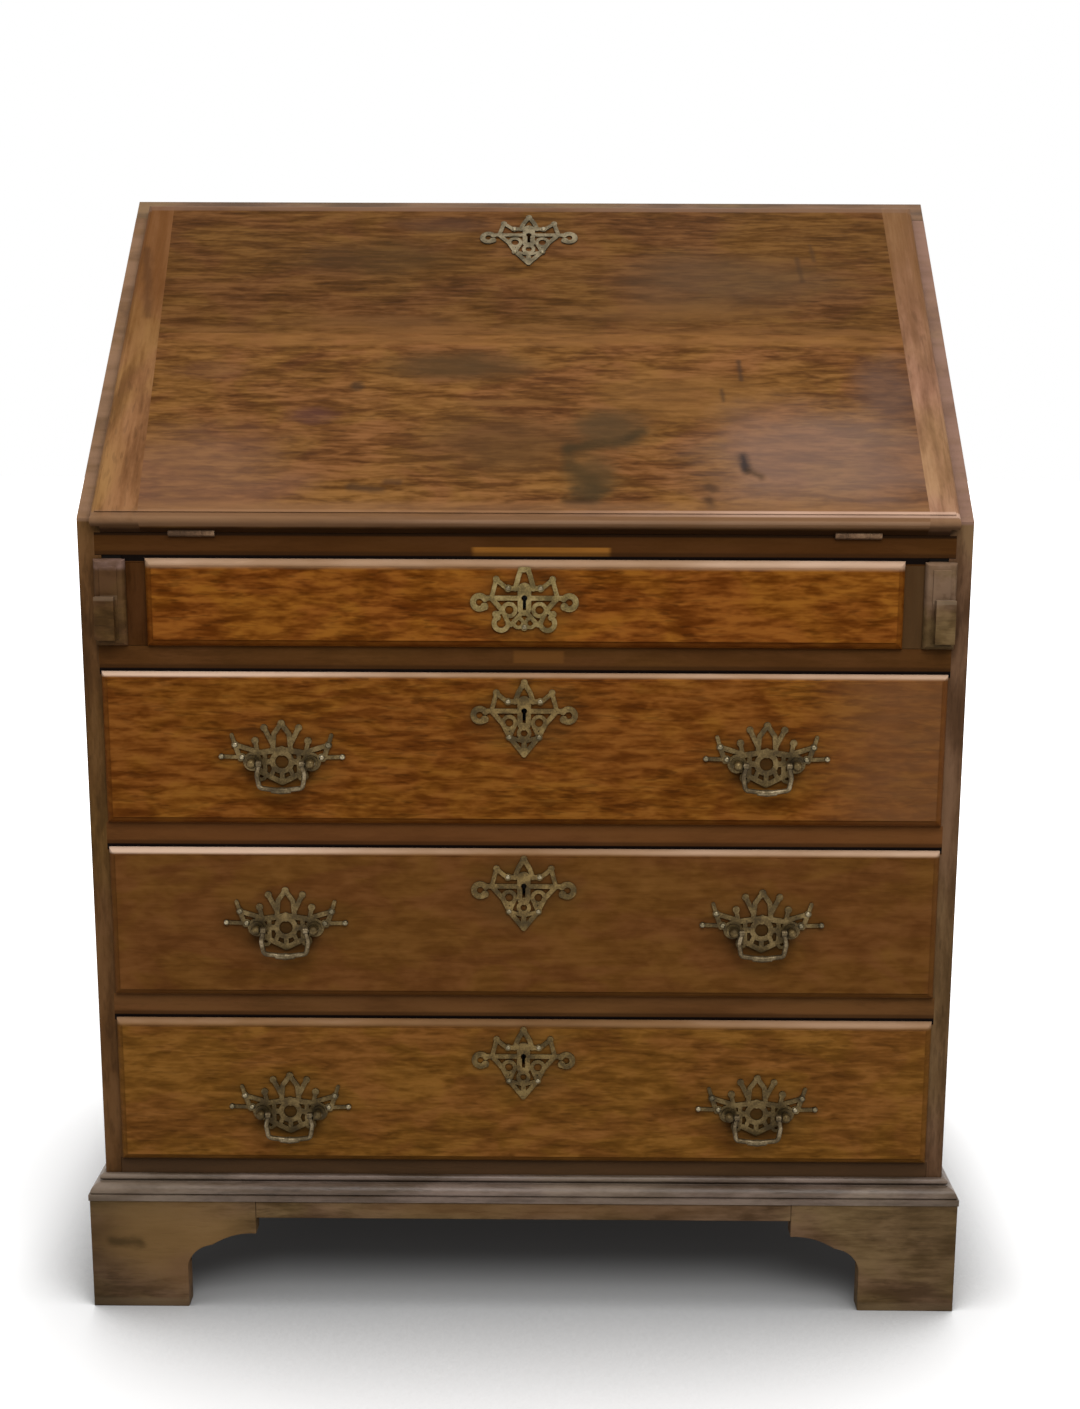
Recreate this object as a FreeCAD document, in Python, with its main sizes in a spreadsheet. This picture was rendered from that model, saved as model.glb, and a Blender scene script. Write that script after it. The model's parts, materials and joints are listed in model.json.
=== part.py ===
import FreeCAD, Part
import math
import os
import Sketcher

# Slant-front desk in oak with pierced brasses.
# Millimetres. The front faces -Y, +Z is up, and the origin is on the floor under
# the middle of the desk's box. Sketches and blocks take their sizes from the sheet.

SIZES = {
    # Case
    "case_width": 810,
    "case_depth": 490,
    "side_thick": 21,
    "top_thick": 18,
    "bottom_thick": 22,
    "bed_thick": 16,
    "back_thick": 12,
    "back_rebate": 10,
    "back_board_gap": 0.6,
    "housing_depth": 6,
    "compartment_height": 317,
    "corner_rise": 12.6,
    "slope_angle": 46,
    # Rails and drawer openings, from the top down
    "rail_thick": 27.5,
    "rail_depth": 62,
    "top_rail_height": 27,
    "base_rail_height": 16.5,
    "opening_1_height": 76.5,
    "opening_2_height": 139,
    "opening_3_height": 140.5,
    "opening_4_height": 139.5,
    "runner_width": 22,
    # Base
    "foot_height": 110.5,
    "moulding_height": 23,
    "base_overhang": 14.6,
    "foot_inset": 1,
    "foot_width": 93,
    "bracket_length": 160,
    "bracket_thick": 18,
    "bracket_knee_drop": 67,
    "bracket_cusp_drop": 46,
    "bracket_step_drop": 34,
    "apron_height": 17.5,
    "foot_block_width": 48,
    "foot_block_lift": 3,
    # Drawers
    "lip_thick": 8,
    "lip_overlap": 4,
    "lip_step": 1.2,
    "lip_gap": 0.2,
    "front_body_thick": 14,
    "front_cover": 4,
    "drawer_rear_gap": 23,
    "drawer_side_thick": 10,
    "drawer_back_thick": 9,
    "drawer_back_drop": 6,
    "drawer_bottom_thick": 7,
    "drawer_bottom_lift": 6,
    "drawer_groove": 4,
    "drawer_side_gap": 1,
    "drawer_run_gap": 0.3,
    "drawer_top_gap": 1.5,
    # Locks
    "lock_width": 64,
    "lock_height": 50,
    "lock_thick": 10,
    "bolt_width": 26,
    "bolt_thick": 5,
    "bolt_height": 20,
    "bolt_throw": 6,
    "fall_bolt_throw": 12,
    "bolt_gap": 0.3,
    "bolt_spare": 1.5,
    "key_drop": 30,
    "fall_key_drop": 37,
    "keyhole_radius": 2.7,
    "keyhole_slot_width": 3,
    "keyhole_slot_length": 11,
    # Lopers
    "divider_thick": 25,
    "loper_slot_width": 18.5,
    "loper_side_gap": 0.5,
    "loper_rear_gap": 78,
    "loper_top_gap": 0.3,
    "loper_face_overlap": 7.5,
    "loper_face_drop": 3,
    "pull_width": 18,
    "pull_height": 40,
    "pull_thick": 6,
    "pull_rise": 6,
    "pull_margin": 2,
    # Fall
    "fall_thick": 20.5,
    "fall_rebate": 8,
    "fall_overlap": 7,
    "fall_gap": 0.5,
    "fall_side_gap": 0.7,
    "fall_top_gap": 2,
    "fall_top_reach": 12,
    "fall_edge_round": 7.5,
    "fall_side_round": 5,
    "fall_step": 1.2,
    "fall_joint": 231,
    "left_cleat_top": 27,
    "left_cleat_bottom": 44,
    "right_cleat_top": 31,
    "right_cleat_bottom": 28,
    # Hinges
    "hinge_inset": 83,
    "hinge_length": 42,
    "knuckle_radius": 3.4,
    "knuckle_gap": 0.35,
    "knuckle_length": 20,
    "hinge_pin_radius": 1.5,
    "hinge_pin_gap": 0.05,
    "leaf_length": 24,
    "leaf_thick": 1.6,
    # Brasses
    "plate_thick": 1.6,
    "escutcheon_half_width": 49,
    "scroll_width": 4.4,
    "handle_half_width": 58,
    "handle_inset": 161,
    "handle_2_drop": 9,
    "handle_3_drop": 1,
    "handle_4_drop": 17,
    "post_spread": 27,
    "post_radius": 2.4,
    "post_head_radius": 4.6,
    "post_collar_radius": 6,
    "post_collar_thick": 2.2,
    "nut_radius": 6,
    "nut_thick": 4,
    "bail_stand": 11,
    "bail_radius": 2.3,
    "bail_swell": 3.4,
    "bail_swell_length": 9,
    "bail_drop": 27.5,
    "bail_half_width": 22,
    "bail_eye_radius": 3.3,
    "bail_eye_width": 4.4,
    "bail_eye_gap": 0.5,
    "bail_pivot_radius": 1.7,
    "bail_pivot_gap": 0.05,
    # Writing compartment
    "nest_gap": 8,
    "nest_drawer_height": 70,
    "nest_board": 8,
    "pigeonhole_board": 6,
    "valance_height": 30,
    "valance_thick": 6,
    "nest_front_thick": 12,
    "nest_box_board": 6,
    "nest_drawer_rear_gap": 16,
    "knob_radius": 6.5,
    "knob_neck_radius": 3,
    "knob_neck_length": 5,
}

# Counts, and hand-chosen shares of a piece's own sizes.
BACK_BOARDS = 4
NEST_DRAWERS = 4
PIGEONHOLES = 8
half_share = 0.5
tail_tip_share = 0.37
tail_root_share = 0.27
valance_rise_share = 0.62
cusp_reach_share = 0.36
knob_seat_share = 0.7

doc = FreeCAD.newDocument("slant_front_desk")
sheet = doc.addObject("Spreadsheet::Sheet", "Sizes")


class Size:
    """A length or angle that carries its number and the sheet formula behind it."""

    def __init__(self, value, formula):
        self.value = value
        self.formula = formula

    def __add__(self, other):
        other = as_size(other)
        return Size(self.value + other.value, f"({self.formula} + {other.formula})")

    def __sub__(self, other):
        other = as_size(other)
        return Size(self.value - other.value, f"({self.formula} - {other.formula})")

    def __mul__(self, other):
        other = as_size(other)
        return Size(self.value * other.value, f"({self.formula} * {other.formula})")

    def __truediv__(self, other):
        other = as_size(other)
        return Size(self.value / other.value, f"({self.formula} / {other.formula})")

    def __neg__(self):
        return Size(-self.value, f"(0 - {self.formula})")


def as_size(number):
    """A plain number, such as a share or zero, as a size."""
    return number if isinstance(number, Size) else Size(number, f"({number})")


class Sheet:
    """The driving sizes, each under its own name."""


S = Sheet()
for row, (alias, number) in enumerate(SIZES.items(), 1):
    sheet.set(f"A{row}", alias)
    sheet.set(f"B{row}", str(number))
    sheet.setAlias(f"B{row}", alias)
    setattr(S, alias, Size(number, f"Sizes.{alias}"))
doc.recompute()


def trig(name, angle):
    """Sine, cosine or tangent of an angle in degrees."""
    return Size(getattr(math, name)(math.radians(angle.value)), f"{name}({angle.formula})")


# Helpers that make bound document objects.

def bind(item, prop, amount):
    amount = as_size(amount)
    if amount.formula != as_size(0).formula:
        item.setExpression(prop, amount.formula)


def move(item, x, y, z):
    """Tie an object's place to sizes."""
    bind(item, "Placement.Base.x", x)
    bind(item, "Placement.Base.y", y)
    bind(item, "Placement.Base.z", z)
    return item


def block(x0, x1, y0, y1, z0, z1):
    """A squared board between two corners."""
    item = doc.addObject("Part::Box", "Board")
    bind(item, "Length", as_size(x1) - x0)
    bind(item, "Width", as_size(y1) - y0)
    bind(item, "Height", as_size(z1) - z0)
    return move(item, x0, y0, z0)


AXES = {"x": FreeCAD.Vector(1, 0, 0), "y": FreeCAD.Vector(0, 1, 0), "z": FreeCAD.Vector(0, 0, 1)}


def rod(axis, radius, length, x, y, z):
    """A round rod that starts at a point and runs along an axis."""
    item = doc.addObject("Part::Cylinder", "Rod")
    bind(item, "Radius", radius)
    bind(item, "Height", length)
    item.Placement.Rotation = FreeCAD.Rotation(AXES["z"], AXES[axis])
    return move(item, x, y, z)


def ball(radius, x, y, z):
    item = doc.addObject("Part::Sphere", "Ball")
    bind(item, "Radius", radius)
    return move(item, x, y, z)


def cut(base, *tools):
    for tool in tools:
        item = doc.addObject("Part::Cut", "Shaped")
        item.Base = base
        item.Tool = tool
        base = item
    return base


def fuse(*pieces):
    item = doc.addObject("Part::MultiFuse", "Joined")
    item.Shapes = list(pieces)
    item.Refine = True
    return item


def common(first, second):
    item = doc.addObject("Part::Common", "Shared")
    item.Base = first
    item.Tool = second
    return item


def arc_centre(start, end, radius):
    """Centre of the lesser arc between two points, on the left where radius is positive."""
    chord = end - start
    height = math.sqrt(max(radius * radius - chord.Length ** 2 / 4, 0))
    normal = FreeCAD.Vector(-chord.y, chord.x, 0).normalize()
    return (start + end) / 2 + normal * math.copysign(height, radius)


def outline_edge(start, end, radius):
    """A line, or an arc of a signed radius, with the order of its two ends."""
    if radius is None:
        return Part.LineSegment(start, end), (1, 2)
    centre = arc_centre(start, end, radius)
    circle = Part.Circle(centre, AXES["z"], abs(radius))
    first, last, order = (start, end, (1, 2)) if radius > 0 else (end, start, (2, 1))
    return Part.ArcOfCircle(circle, circle.parameter(first), circle.parameter(last)), order


def prism(plane, outline, start, length):
    """A padded sketch. Each corner is (across, up) or (across, up, radius of the arc to it)."""
    body = doc.addObject("PartDesign::Body", "Prism")
    sketch = body.newObject("Sketcher::SketchObject", "Outline")
    face = [item for item in body.Origin.OriginFeatures if item.Role == plane + "_Plane"]
    sketch.AttachmentSupport = [(face[0], "")]
    sketch.MapMode = "FlatFace"
    corners = [[as_size(part) for part in corner] for corner in outline]
    points = [FreeCAD.Vector(corner[0].value, corner[1].value, 0) for corner in corners]
    count = len(corners)
    orders = []
    for index in range(count):
        target = (index + 1) % count
        radius = corners[target][2].value if len(corners[target]) > 2 else None
        edge, order = outline_edge(points[index], points[target], radius)
        sketch.addGeometry(edge)
        orders.append(order)
    for index in range(count):
        target = (index + 1) % count
        sketch.addConstraint(
            Sketcher.Constraint("Coincident", index, orders[index][1], target, orders[target][0]))
        for kind, amount in zip(("DistanceX", "DistanceY"), corners[index]):
            rule = Sketcher.Constraint(kind, -1, 1, index, orders[index][0], amount.value)
            number = sketch.addConstraint(rule)
            sketch.setExpression(f"Constraints[{number}]", amount.formula)
        if len(corners[target]) > 2:
            reach = corners[target][2]
            reach = reach if reach.value > 0 else -reach
            number = sketch.addConstraint(Sketcher.Constraint("Radius", index, reach.value))
            sketch.setExpression(f"Constraints[{number}]", reach.formula)
    pad = body.newObject("PartDesign::Pad", "Thickness")
    pad.Profile = sketch
    pad.Reversed = plane == "XZ"
    bind(pad, "Length", length)
    bind(body, "Placement.Base." + {"XY": "z", "XZ": "y", "YZ": "x"}[plane], start)
    return body


def span(side, inner, outer):
    """The two ends of a stretch across X, on the left (-1) or the right (1)."""
    return (inner, outer) if side > 0 else (-as_size(outer), -as_size(inner))


NODES = []


def node(label, *pieces):
    """One named sub-part, of one solid or of a group of separate solids."""
    item = pieces[0]
    if len(pieces) > 1:
        item = doc.addObject("Part::Compound", "Group")
        item.Links = list(pieces)
    item.Label = label
    NODES.append(item)
    return item


# Levels and planes worked out from the driving sizes.
SIDES = (-1, 1)
front_reach = S.lip_thick + S.bail_stand + S.post_head_radius
front = (front_reach - S.case_depth) / 2
back = front + S.case_depth
back_face = back - S.back_thick
half_width = S.case_width / 2
inner = half_width - S.side_thick
housed = inner + S.housing_depth
slope_sin = trig("sin", S.slope_angle)
slope_cos = trig("cos", S.slope_angle)
slope_tan = trig("tan", S.slope_angle)

floor_4 = S.foot_height + S.base_rail_height + S.bottom_thick
ceil_4 = floor_4 + S.opening_4_height
floor_3 = ceil_4 + S.rail_thick
ceil_3 = floor_3 + S.opening_3_height
floor_2 = ceil_3 + S.rail_thick
ceil_2 = floor_2 + S.opening_2_height
floor_1 = ceil_2 + S.rail_thick
ceil_1 = floor_1 + S.opening_1_height
bed_top = ceil_1 + S.top_rail_height
bed_under = bed_top - S.bed_thick
desk_top = bed_top + S.compartment_height
top_under = desk_top - S.top_thick
corner = bed_top + S.corner_rise
rail_back = front + S.rail_depth


def slope_y(level):
    """Where the sloping edge of the case is at a level."""
    return front + (level - corner) / slope_tan


# The fall turns about the line where its inner face meets the writing bed.
hinge_y = front - S.corner_rise / slope_tan + S.fall_rebate / slope_sin
fall_edge = (top_under - bed_top) / slope_sin - S.fall_rebate / slope_tan
fall_body_end = fall_edge - S.fall_top_gap
fall_lip_end = fall_body_end + S.fall_top_reach
fall_half_width = inner + S.fall_overlap


def on_fall(item, x, along, out):
    """Place an object by its distance across, up the slope and out of the fall's inner face."""
    item.Placement.Rotation = FreeCAD.Rotation(AXES["x"], S.slope_angle.value)
    bind(item, "Placement.Rotation.Angle", S.slope_angle)
    y = hinge_y + slope_cos * along - slope_sin * out
    z = bed_top + slope_sin * along + slope_cos * out
    return move(item, x, y, z)


# Lock bolts: one slot for each, long enough for the throw.

def bolt_slot(x_half, y_mid, z0, z1):
    """The room that a bolt needs between two levels."""
    room = S.bolt_thick / 2 + S.bolt_gap
    return block(-x_half, x_half, y_mid - room, y_mid + room, z0, z1)


drawer_rear = back_face - S.drawer_rear_gap
lock_back = front + S.front_body_thick
lock_front = lock_back - S.lock_thick
bolt_mid = lock_back - S.lock_thick / 2
bolt_room = S.bolt_width / 2 + S.bolt_gap
mortise_depth = S.bolt_throw + S.bolt_spare


# Case rails: the top rail, three drawer rails and the base rail.

def rail(z0, z1):
    return block(-housed, housed, front, rail_back, z0, z1)


def hinge_places():
    """The start of each hinge along X."""
    return [(inner - S.hinge_inset) * side - S.hinge_length / 2 for side in SIDES]


divider_out = inner - S.loper_slot_width
divider_in = divider_out - S.divider_thick
loper_top = bed_top - S.fall_thick - S.loper_top_gap
notch_radius = S.knuckle_radius + S.knuckle_gap

top_rail = rail(ceil_1, bed_top)
for side in SIDES:
    x0, x1 = span(side, divider_out, housed)
    top_rail = cut(top_rail, block(x0, x1, front, rail_back, ceil_1, loper_top + S.loper_top_gap))
for start in hinge_places():
    end = start + S.hinge_length
    recess = block(start, end, front, hinge_y + S.leaf_length, bed_top - S.leaf_thick, bed_top)
    top_rail = cut(top_rail, recess, rod("x", notch_radius, S.hinge_length, start, hinge_y, bed_top))
top_rail = cut(top_rail, bolt_slot(bolt_room, bolt_mid, ceil_1, ceil_1 + mortise_depth))

rails = [top_rail]
for under in (ceil_2, ceil_3, ceil_4):
    slot = bolt_slot(bolt_room, bolt_mid, under, under + mortise_depth)
    rails.append(cut(rail(under, under + S.rail_thick), slot))
rails.append(rail(S.foot_height, S.foot_height + S.base_rail_height))
node("case_rails", *rails)

bottom_board = block(-housed, housed, front, back_face, floor_4 - S.bottom_thick, floor_4)
node("bottom_board", bottom_board)
bed = block(-housed, housed, rail_back, back_face, bed_under, bed_top)
node("writing_bed", bed)


# Sides, with the slope, the housings of the rails and a rebate for the back.
side_outline = [
    (front, S.foot_height),
    (back, S.foot_height),
    (back, top_under),
    (slope_y(top_under), top_under),
    (front, corner),
]
for side, label in zip(SIDES, ("left_side", "right_side")):
    x0, x1 = span(side, inner, half_width)
    board = prism("YZ", side_outline, x0, S.side_thick)
    r0, r1 = span(side, inner, inner + S.back_rebate)
    rebate = block(r0, r1, back_face, back, S.foot_height, top_under)
    node(label, cut(board, rebate, bottom_board, bed, *rails))

top_outline = [
    (slope_y(top_under), top_under),
    (back, top_under),
    (back, desk_top),
    (slope_y(desk_top), desk_top),
]
top_board = prism("YZ", top_outline, -half_width, S.case_width)
fall_bolt_mid = S.fall_rebate / 2
fall_bolt_room = S.bolt_thick / 2 + S.bolt_gap
strike = block(-bolt_room, bolt_room, 0, S.fall_bolt_throw + S.bolt_spare, 0, fall_bolt_room * 2)
on_fall(strike, -bolt_room, fall_body_end, fall_bolt_mid - fall_bolt_room)
node("top_board", cut(top_board, strike))

back_half = inner + S.back_rebate
back_pitch = (back_half * 2 + S.back_board_gap) / BACK_BOARDS
boards = []
for index in range(BACK_BOARDS):
    x0 = back_pitch * index - back_half
    boards.append(block(x0, x0 + back_pitch - S.back_board_gap, back_face, back, S.foot_height, top_under))
node("back_boards", *boards)

divider_outline = [
    (front, floor_1),
    (back_face, floor_1),
    (back_face, bed_under),
    (rail_back, bed_under),
    (rail_back, ceil_1),
    (front, ceil_1),
]
dividers = []
for side in SIDES:
    x0, x1 = span(side, divider_in, divider_out)
    dividers.append(prism("YZ", divider_outline, x0, S.divider_thick))
node("loper_dividers", *dividers)

runners = []
for side in SIDES:
    for level, reach in ((floor_1, divider_in - S.runner_width), (floor_2, inner - S.runner_width),
                         (floor_3, inner - S.runner_width)):
        x0, x1 = span(side, reach, inner)
        runners.append(block(x0, x1, rail_back, back_face, level - S.rail_thick, level))
node("drawer_runners", *runners)


# Base: mitred moulding, bracket feet with glue blocks, and the strip between them.

def mitre_plan(side, inset, depth, z0, height):
    """Plan of a side piece whose front end is cut at 45 degrees."""
    x_in = half_width + inset - depth
    x_out = half_width + inset
    y_in = front - inset + depth
    y_out = front - inset
    plan = [(x_in * side, y_in), (x_out * side, y_out), (x_out * side, back), (x_in * side, back)]
    return prism("XY", plan, z0, height)


def front_plan(inset, depth, z0, height):
    """Plan of the front piece between its two mitres."""
    x_in = half_width + inset - depth
    x_out = half_width + inset
    y_in = front - inset + depth
    y_out = front - inset
    plan = [(-x_in, y_in), (-x_out, y_out), (x_out, y_out), (x_in, y_in)]
    return prism("XY", plan, z0, height)


bead_share = 0.28
bead_out_share = 0.34
torus_share = 0.36
torus_out_share = 0.90
quirk_share = 0.05
bead = S.moulding_height * bead_share
bead_out = S.base_overhang * bead_out_share
torus = S.moulding_height * torus_share
torus_out = S.base_overhang * torus_out_share
quirk = S.moulding_height * quirk_share
moulding_top = S.foot_height + S.moulding_height


def moulding_section(flip, face):
    """Bead, torus and fillet, drawn out of a face that looks along -1 or 1."""
    z_bead = moulding_top - bead
    z_torus = z_bead - quirk - torus
    z_fillet = z_torus - quirk

    def across(reach):
        return face + reach * flip

    return [
        (face, S.foot_height),
        (face, moulding_top),
        (across(bead_out - bead / 2), moulding_top),
        (across(bead_out - bead / 2), z_bead, bead / 2 * -flip),
        (across(bead_out), z_bead),
        (across(bead_out), z_bead - quirk),
        (across(torus_out), z_torus, torus * -flip),
        (across(torus_out - quirk / 2), z_fillet),
        (across(S.base_overhang), z_fillet),
        (across(S.base_overhang), S.foot_height),
    ]


front_moulding = prism("YZ", moulding_section(-1, front), -half_width - S.base_overhang,
                       S.case_width + S.base_overhang * 2)
front_mitres = front_plan(S.base_overhang, S.base_overhang, S.foot_height, S.moulding_height)
mouldings = [common(front_moulding, front_mitres)]
for side in SIDES:
    strip = prism("XZ", moulding_section(side, half_width * side), front - S.base_overhang,
                  S.case_depth + S.base_overhang)
    plan = mitre_plan(side, S.base_overhang, S.base_overhang, S.foot_height, S.moulding_height)
    mouldings.append(common(strip, plan))
node("base_moulding", *mouldings)

foot_out = S.base_overhang - S.foot_inset
cusp_reach = S.foot_width + (S.bracket_length - S.foot_width) * cusp_reach_share
cove_radius = S.bracket_knee_drop - (S.bracket_cusp_drop + S.bracket_step_drop) / 2
sweep_radius = S.bracket_length - S.foot_width


def bracket_outline(place, flip):
    """Face of a bracket foot, from its outer corner at a place inwards along flip."""
    cove = cove_radius * flip
    sweep = sweep_radius * flip
    return [
        (place, as_size(0)),
        (place + S.foot_width * flip, as_size(0)),
        (place + S.foot_width * flip, S.foot_height - S.bracket_knee_drop),
        (place + cusp_reach * flip, S.foot_height - S.bracket_cusp_drop, cove * -1),
        (place + S.bracket_length * flip, S.foot_height - S.bracket_step_drop, sweep * -1),
        (place + S.bracket_length * flip, S.foot_height),
        (place, S.foot_height),
    ]


foot_x = half_width + foot_out
foot_y = front - foot_out
front_brackets = []
rear_brackets = []
foot_blocks = []
foot_plan = front_plan(foot_out, S.bracket_thick, 0, S.foot_height)
for side in SIDES:
    face = prism("XZ", bracket_outline(foot_x * side, -side), foot_y, S.bracket_thick)
    front_brackets.append(common(face, foot_plan))
    x0, x1 = span(side, foot_x - S.bracket_thick, foot_x)
    flank = prism("YZ", bracket_outline(foot_y, 1), x0, S.bracket_thick)
    side_plan = mitre_plan(side, foot_out, S.bracket_thick, 0, S.foot_height)
    front_brackets.append(common(flank, side_plan))
    rear_brackets.append(prism("YZ", bracket_outline(back, -1), x0, S.bracket_thick))
    rear_x = (foot_x - S.bracket_thick) * side
    rear_outline = [
        (rear_x, as_size(0)),
        (rear_x - (S.foot_width - S.bracket_thick) * side, as_size(0)),
        (rear_x - (S.bracket_length - S.bracket_thick) * side, S.foot_height),
        (rear_x, S.foot_height),
    ]
    rear_brackets.append(prism("XZ", rear_outline, back - S.bracket_thick, S.bracket_thick))
    b0, b1 = span(side, foot_x - S.bracket_thick - S.foot_block_width, foot_x - S.bracket_thick)
    y0 = foot_y + S.bracket_thick
    y1 = back - S.bracket_thick
    foot_blocks.append(block(b0, b1, y0, y0 + S.foot_block_width, S.foot_block_lift, S.foot_height))
    foot_blocks.append(block(b0, b1, y1 - S.foot_block_width, y1, S.foot_block_lift, S.foot_height))
node("front_feet", *front_brackets)
node("rear_feet", *rear_brackets)
node("foot_blocks", *foot_blocks)
apron_half = foot_x - S.bracket_length
node("front_apron", block(-apron_half, apron_half, foot_y, foot_y + S.bracket_thick,
                          S.foot_height - S.apron_height, S.foot_height))


# Lipped faces with a thumb moulding, as on the drawers and the lopers.

def lip(x0, x1, z0, z1):
    """A lip whose four edges are moulded, made where two long sections cross."""
    seat = front - S.lip_gap
    shoulder = front - S.lip_thick + S.lip_step
    out = front - S.lip_thick
    radius = S.lip_thick - S.lip_step - S.lip_gap
    upright = [
        (seat, z0, radius),
        (seat, z1),
        (shoulder, z1 - radius, radius),
        (out, z1 - radius),
        (out, z0 + radius),
        (shoulder, z0 + radius),
    ]
    level = [
        (x0, seat),
        (x0 + radius, shoulder, radius),
        (x0 + radius, out),
        (x1 - radius, out),
        (x1 - radius, shoulder),
        (x1, seat, radius),
    ]
    across = prism("YZ", upright, x0, x1 - x0)
    return common(across, prism("XY", level, z0, z1 - z0))


def keyhole(y0, y1, level):
    """Round and slot of a keyhole, as two cutters through a front."""
    half_slot = S.keyhole_slot_width / 2
    round_part = rod("y", S.keyhole_radius, y1 - y0, 0, y0, level)
    slot = block(-half_slot, half_slot, y0, y1, level - S.keyhole_slot_length, level)
    return round_part, slot


# Pierced brasses, fused from bars, discs, rings and scrolls in the plane of the plate.
# In the tables, points and the radii of rings and scrolls are shares of the plate's half width.
# Widths and the radii of discs are shares of the scroll width, and turns are shares of a full turn.
# A bar is (start, end, width), a disc (centre, radius), a ring (centre, radius, width) and
# a scroll (centre, radius, width, start, sweep). SEAT is the place of a handle's post.

SEAT = "seat"
scroll_knob_share = 0.66

wing_shares = {
    "bars": (
        ((0, 0.18), (0.30, 0.18), 1),
        ((0.30, 0.16), (0.52, 0.34), 0.9),
        ((0.52, 0.34), (0.61, 0), 0.9),
        ((0, 0), (0.70, 0), 1),
        ((0.61, 0), (0.40, -0.24), 1),
    ),
    "discs": (((0.30, 0.18), 0.75), ((0.52, 0.35), 0.68)),
    "rings": (((0.28, -0.22), 0.115, 0.8),),
    "scrolls": (((0.83, -0.08), 0.12, 1.2, 0.417, -0.806),),
}
willow_middle_shares = {
    "bars": (((0, 0.16), (0, -0.24), 2.8), ((0, -0.64), (0, -0.82), 1.1)),
    "discs": (((0, 0.54), 0.7),),
    "rings": (((0, -0.42), 0.10, 0.8),),
}
willow_tail_shares = {
    "bars": (
        ((0.17, 0.17), (0.11, 0.35), 1),
        ((0.11, 0.35), (0, 0.54), 1),
        ((0.40, -0.24), (0.27, -0.50), 1),
        ((0.27, -0.50), (0, -0.84), 1),
        ((0.16, -0.24), (0.27, -0.50), 0.8),
        ((0.27, -0.50), (0, -0.58), 0.8),
    ),
    "discs": (((0.28, -0.50), 0.7),),
}
scrolled_middle_shares = {
    "bars": (((0, 0.16), (0, -0.20), 2.8), ((-0.07, 0.53), (0.07, 0.53), 1.1)),
    "discs": (((0, -0.54), 0.75),),
}
scrolled_foot_shares = {
    "bars": (
        ((0.17, 0.17), (0.11, 0.40), 1),
        ((0.11, 0.40), (0.07, 0.52), 1),
        ((0.40, -0.24), (0.52, -0.30), 0.8),
        ((0.40, -0.24), (0.30, -0.46), 0.9),
        ((0, -0.22), (0.25, -0.50), 0.9),
    ),
    "discs": (((0.53, -0.30), 0.7),),
    "rings": (((0.11, -0.46), 0.085, 0.7),),
    "scrolls": (((0.43, -0.47), 0.13, 1, 0.472, 0.694),),
}
handle_middle_shares = {
    "bars": (((0, -0.16), (0, -0.34), 1), ((0, 0.15), (0, 0.20), 1.4)),
    "discs": (((0, 0.62), 0.75),),
    "rings": (((0, 0), 0.15, 1.1),),
}
handle_wing_shares = {
    "bars": (
        ((0.14, 0.22), (0.12, 0.45), 1),
        ((0.12, 0.45), (0, 0.62), 1),
        ((0.14, 0.28), (0.27, 0.54), 1),
        ((0, 0.20), (0.38, 0.14), 1.15),
        ((0.38, 0.14), (0.42, 0.33), 0.9),
        ((0.38, 0.16), (0.74, 0.27), 1),
        ((0.74, 0.27), (0.79, 0.43), 0.8),
        ((0.74, 0.27), (0.66, 0.04), 1),
        ((0.27, 0.17), (0.27, -0.20), 0.9),
        (SEAT, (0.62, 0.06), 1.1),
        ((0.62, 0.07), (0.96, 0.08), 0.8),
        ((0.16, 0), SEAT, 1.2),
        (SEAT, (0.31, -0.18), 1),
        ((0.31, -0.18), (0, -0.34), 1.1),
        ((0.12, -0.10), (0.18, -0.24), 0.9),
    ),
    "discs": (
        (SEAT, 2),
        ((0.275, 0.55), 0.72),
        ((0.42, 0.34), 0.75),
        ((0.63, 0.07), 0.85),
        ((0.74, 0.27), 0.75),
        ((0.96, 0.08), 0.6),
    ),
    "scrolls": (((0.33, -0.23), 0.06, 0.7, 0.556, 0.556),),
}


def capsule(start, end, width):
    """A bar with round ends between two points."""
    along = (end - start).normalize()
    across = FreeCAD.Vector(-along.y, along.x, 0) * (width / 2)
    tip = along * (width / 2)
    edges = [
        Part.LineSegment(start - across, end - across).toShape(),
        Part.Arc(end - across, end + tip, end + across).toShape(),
        Part.LineSegment(end + across, start + across).toShape(),
        Part.Arc(start + across, start - tip, start - across).toShape(),
    ]
    return Part.Face(Part.Wire(edges))


def disc(centre, radius):
    return Part.Face(Part.Wire(Part.makeCircle(radius, centre)))


def ring(centre, radius, width):
    return disc(centre, radius + width / 2).cut(disc(centre, radius - width / 2))


def scroll(centre, radius, width, start, sweep):
    """Part of a ring, from a start through a sweep in turns, with a knob at its end."""
    def at(turn, reach):
        angle = math.tau * turn
        return centre + FreeCAD.Vector(math.cos(angle), math.sin(angle), 0) * reach

    end = start + sweep
    middle = start + sweep / 2
    outer = radius + width / 2
    inside = radius - width / 2
    edges = [
        Part.Arc(at(start, outer), at(middle, outer), at(end, outer)).toShape(),
        Part.LineSegment(at(end, outer), at(end, inside)).toShape(),
        Part.Arc(at(end, inside), at(middle, inside), at(start, inside)).toShape(),
        Part.LineSegment(at(start, inside), at(start, outer)).toShape(),
    ]
    ends = [disc(at(start, radius), width / 2), disc(at(end, radius), width * scroll_knob_share)]
    return [Part.Face(Part.Wire(edges)), *ends]


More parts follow.
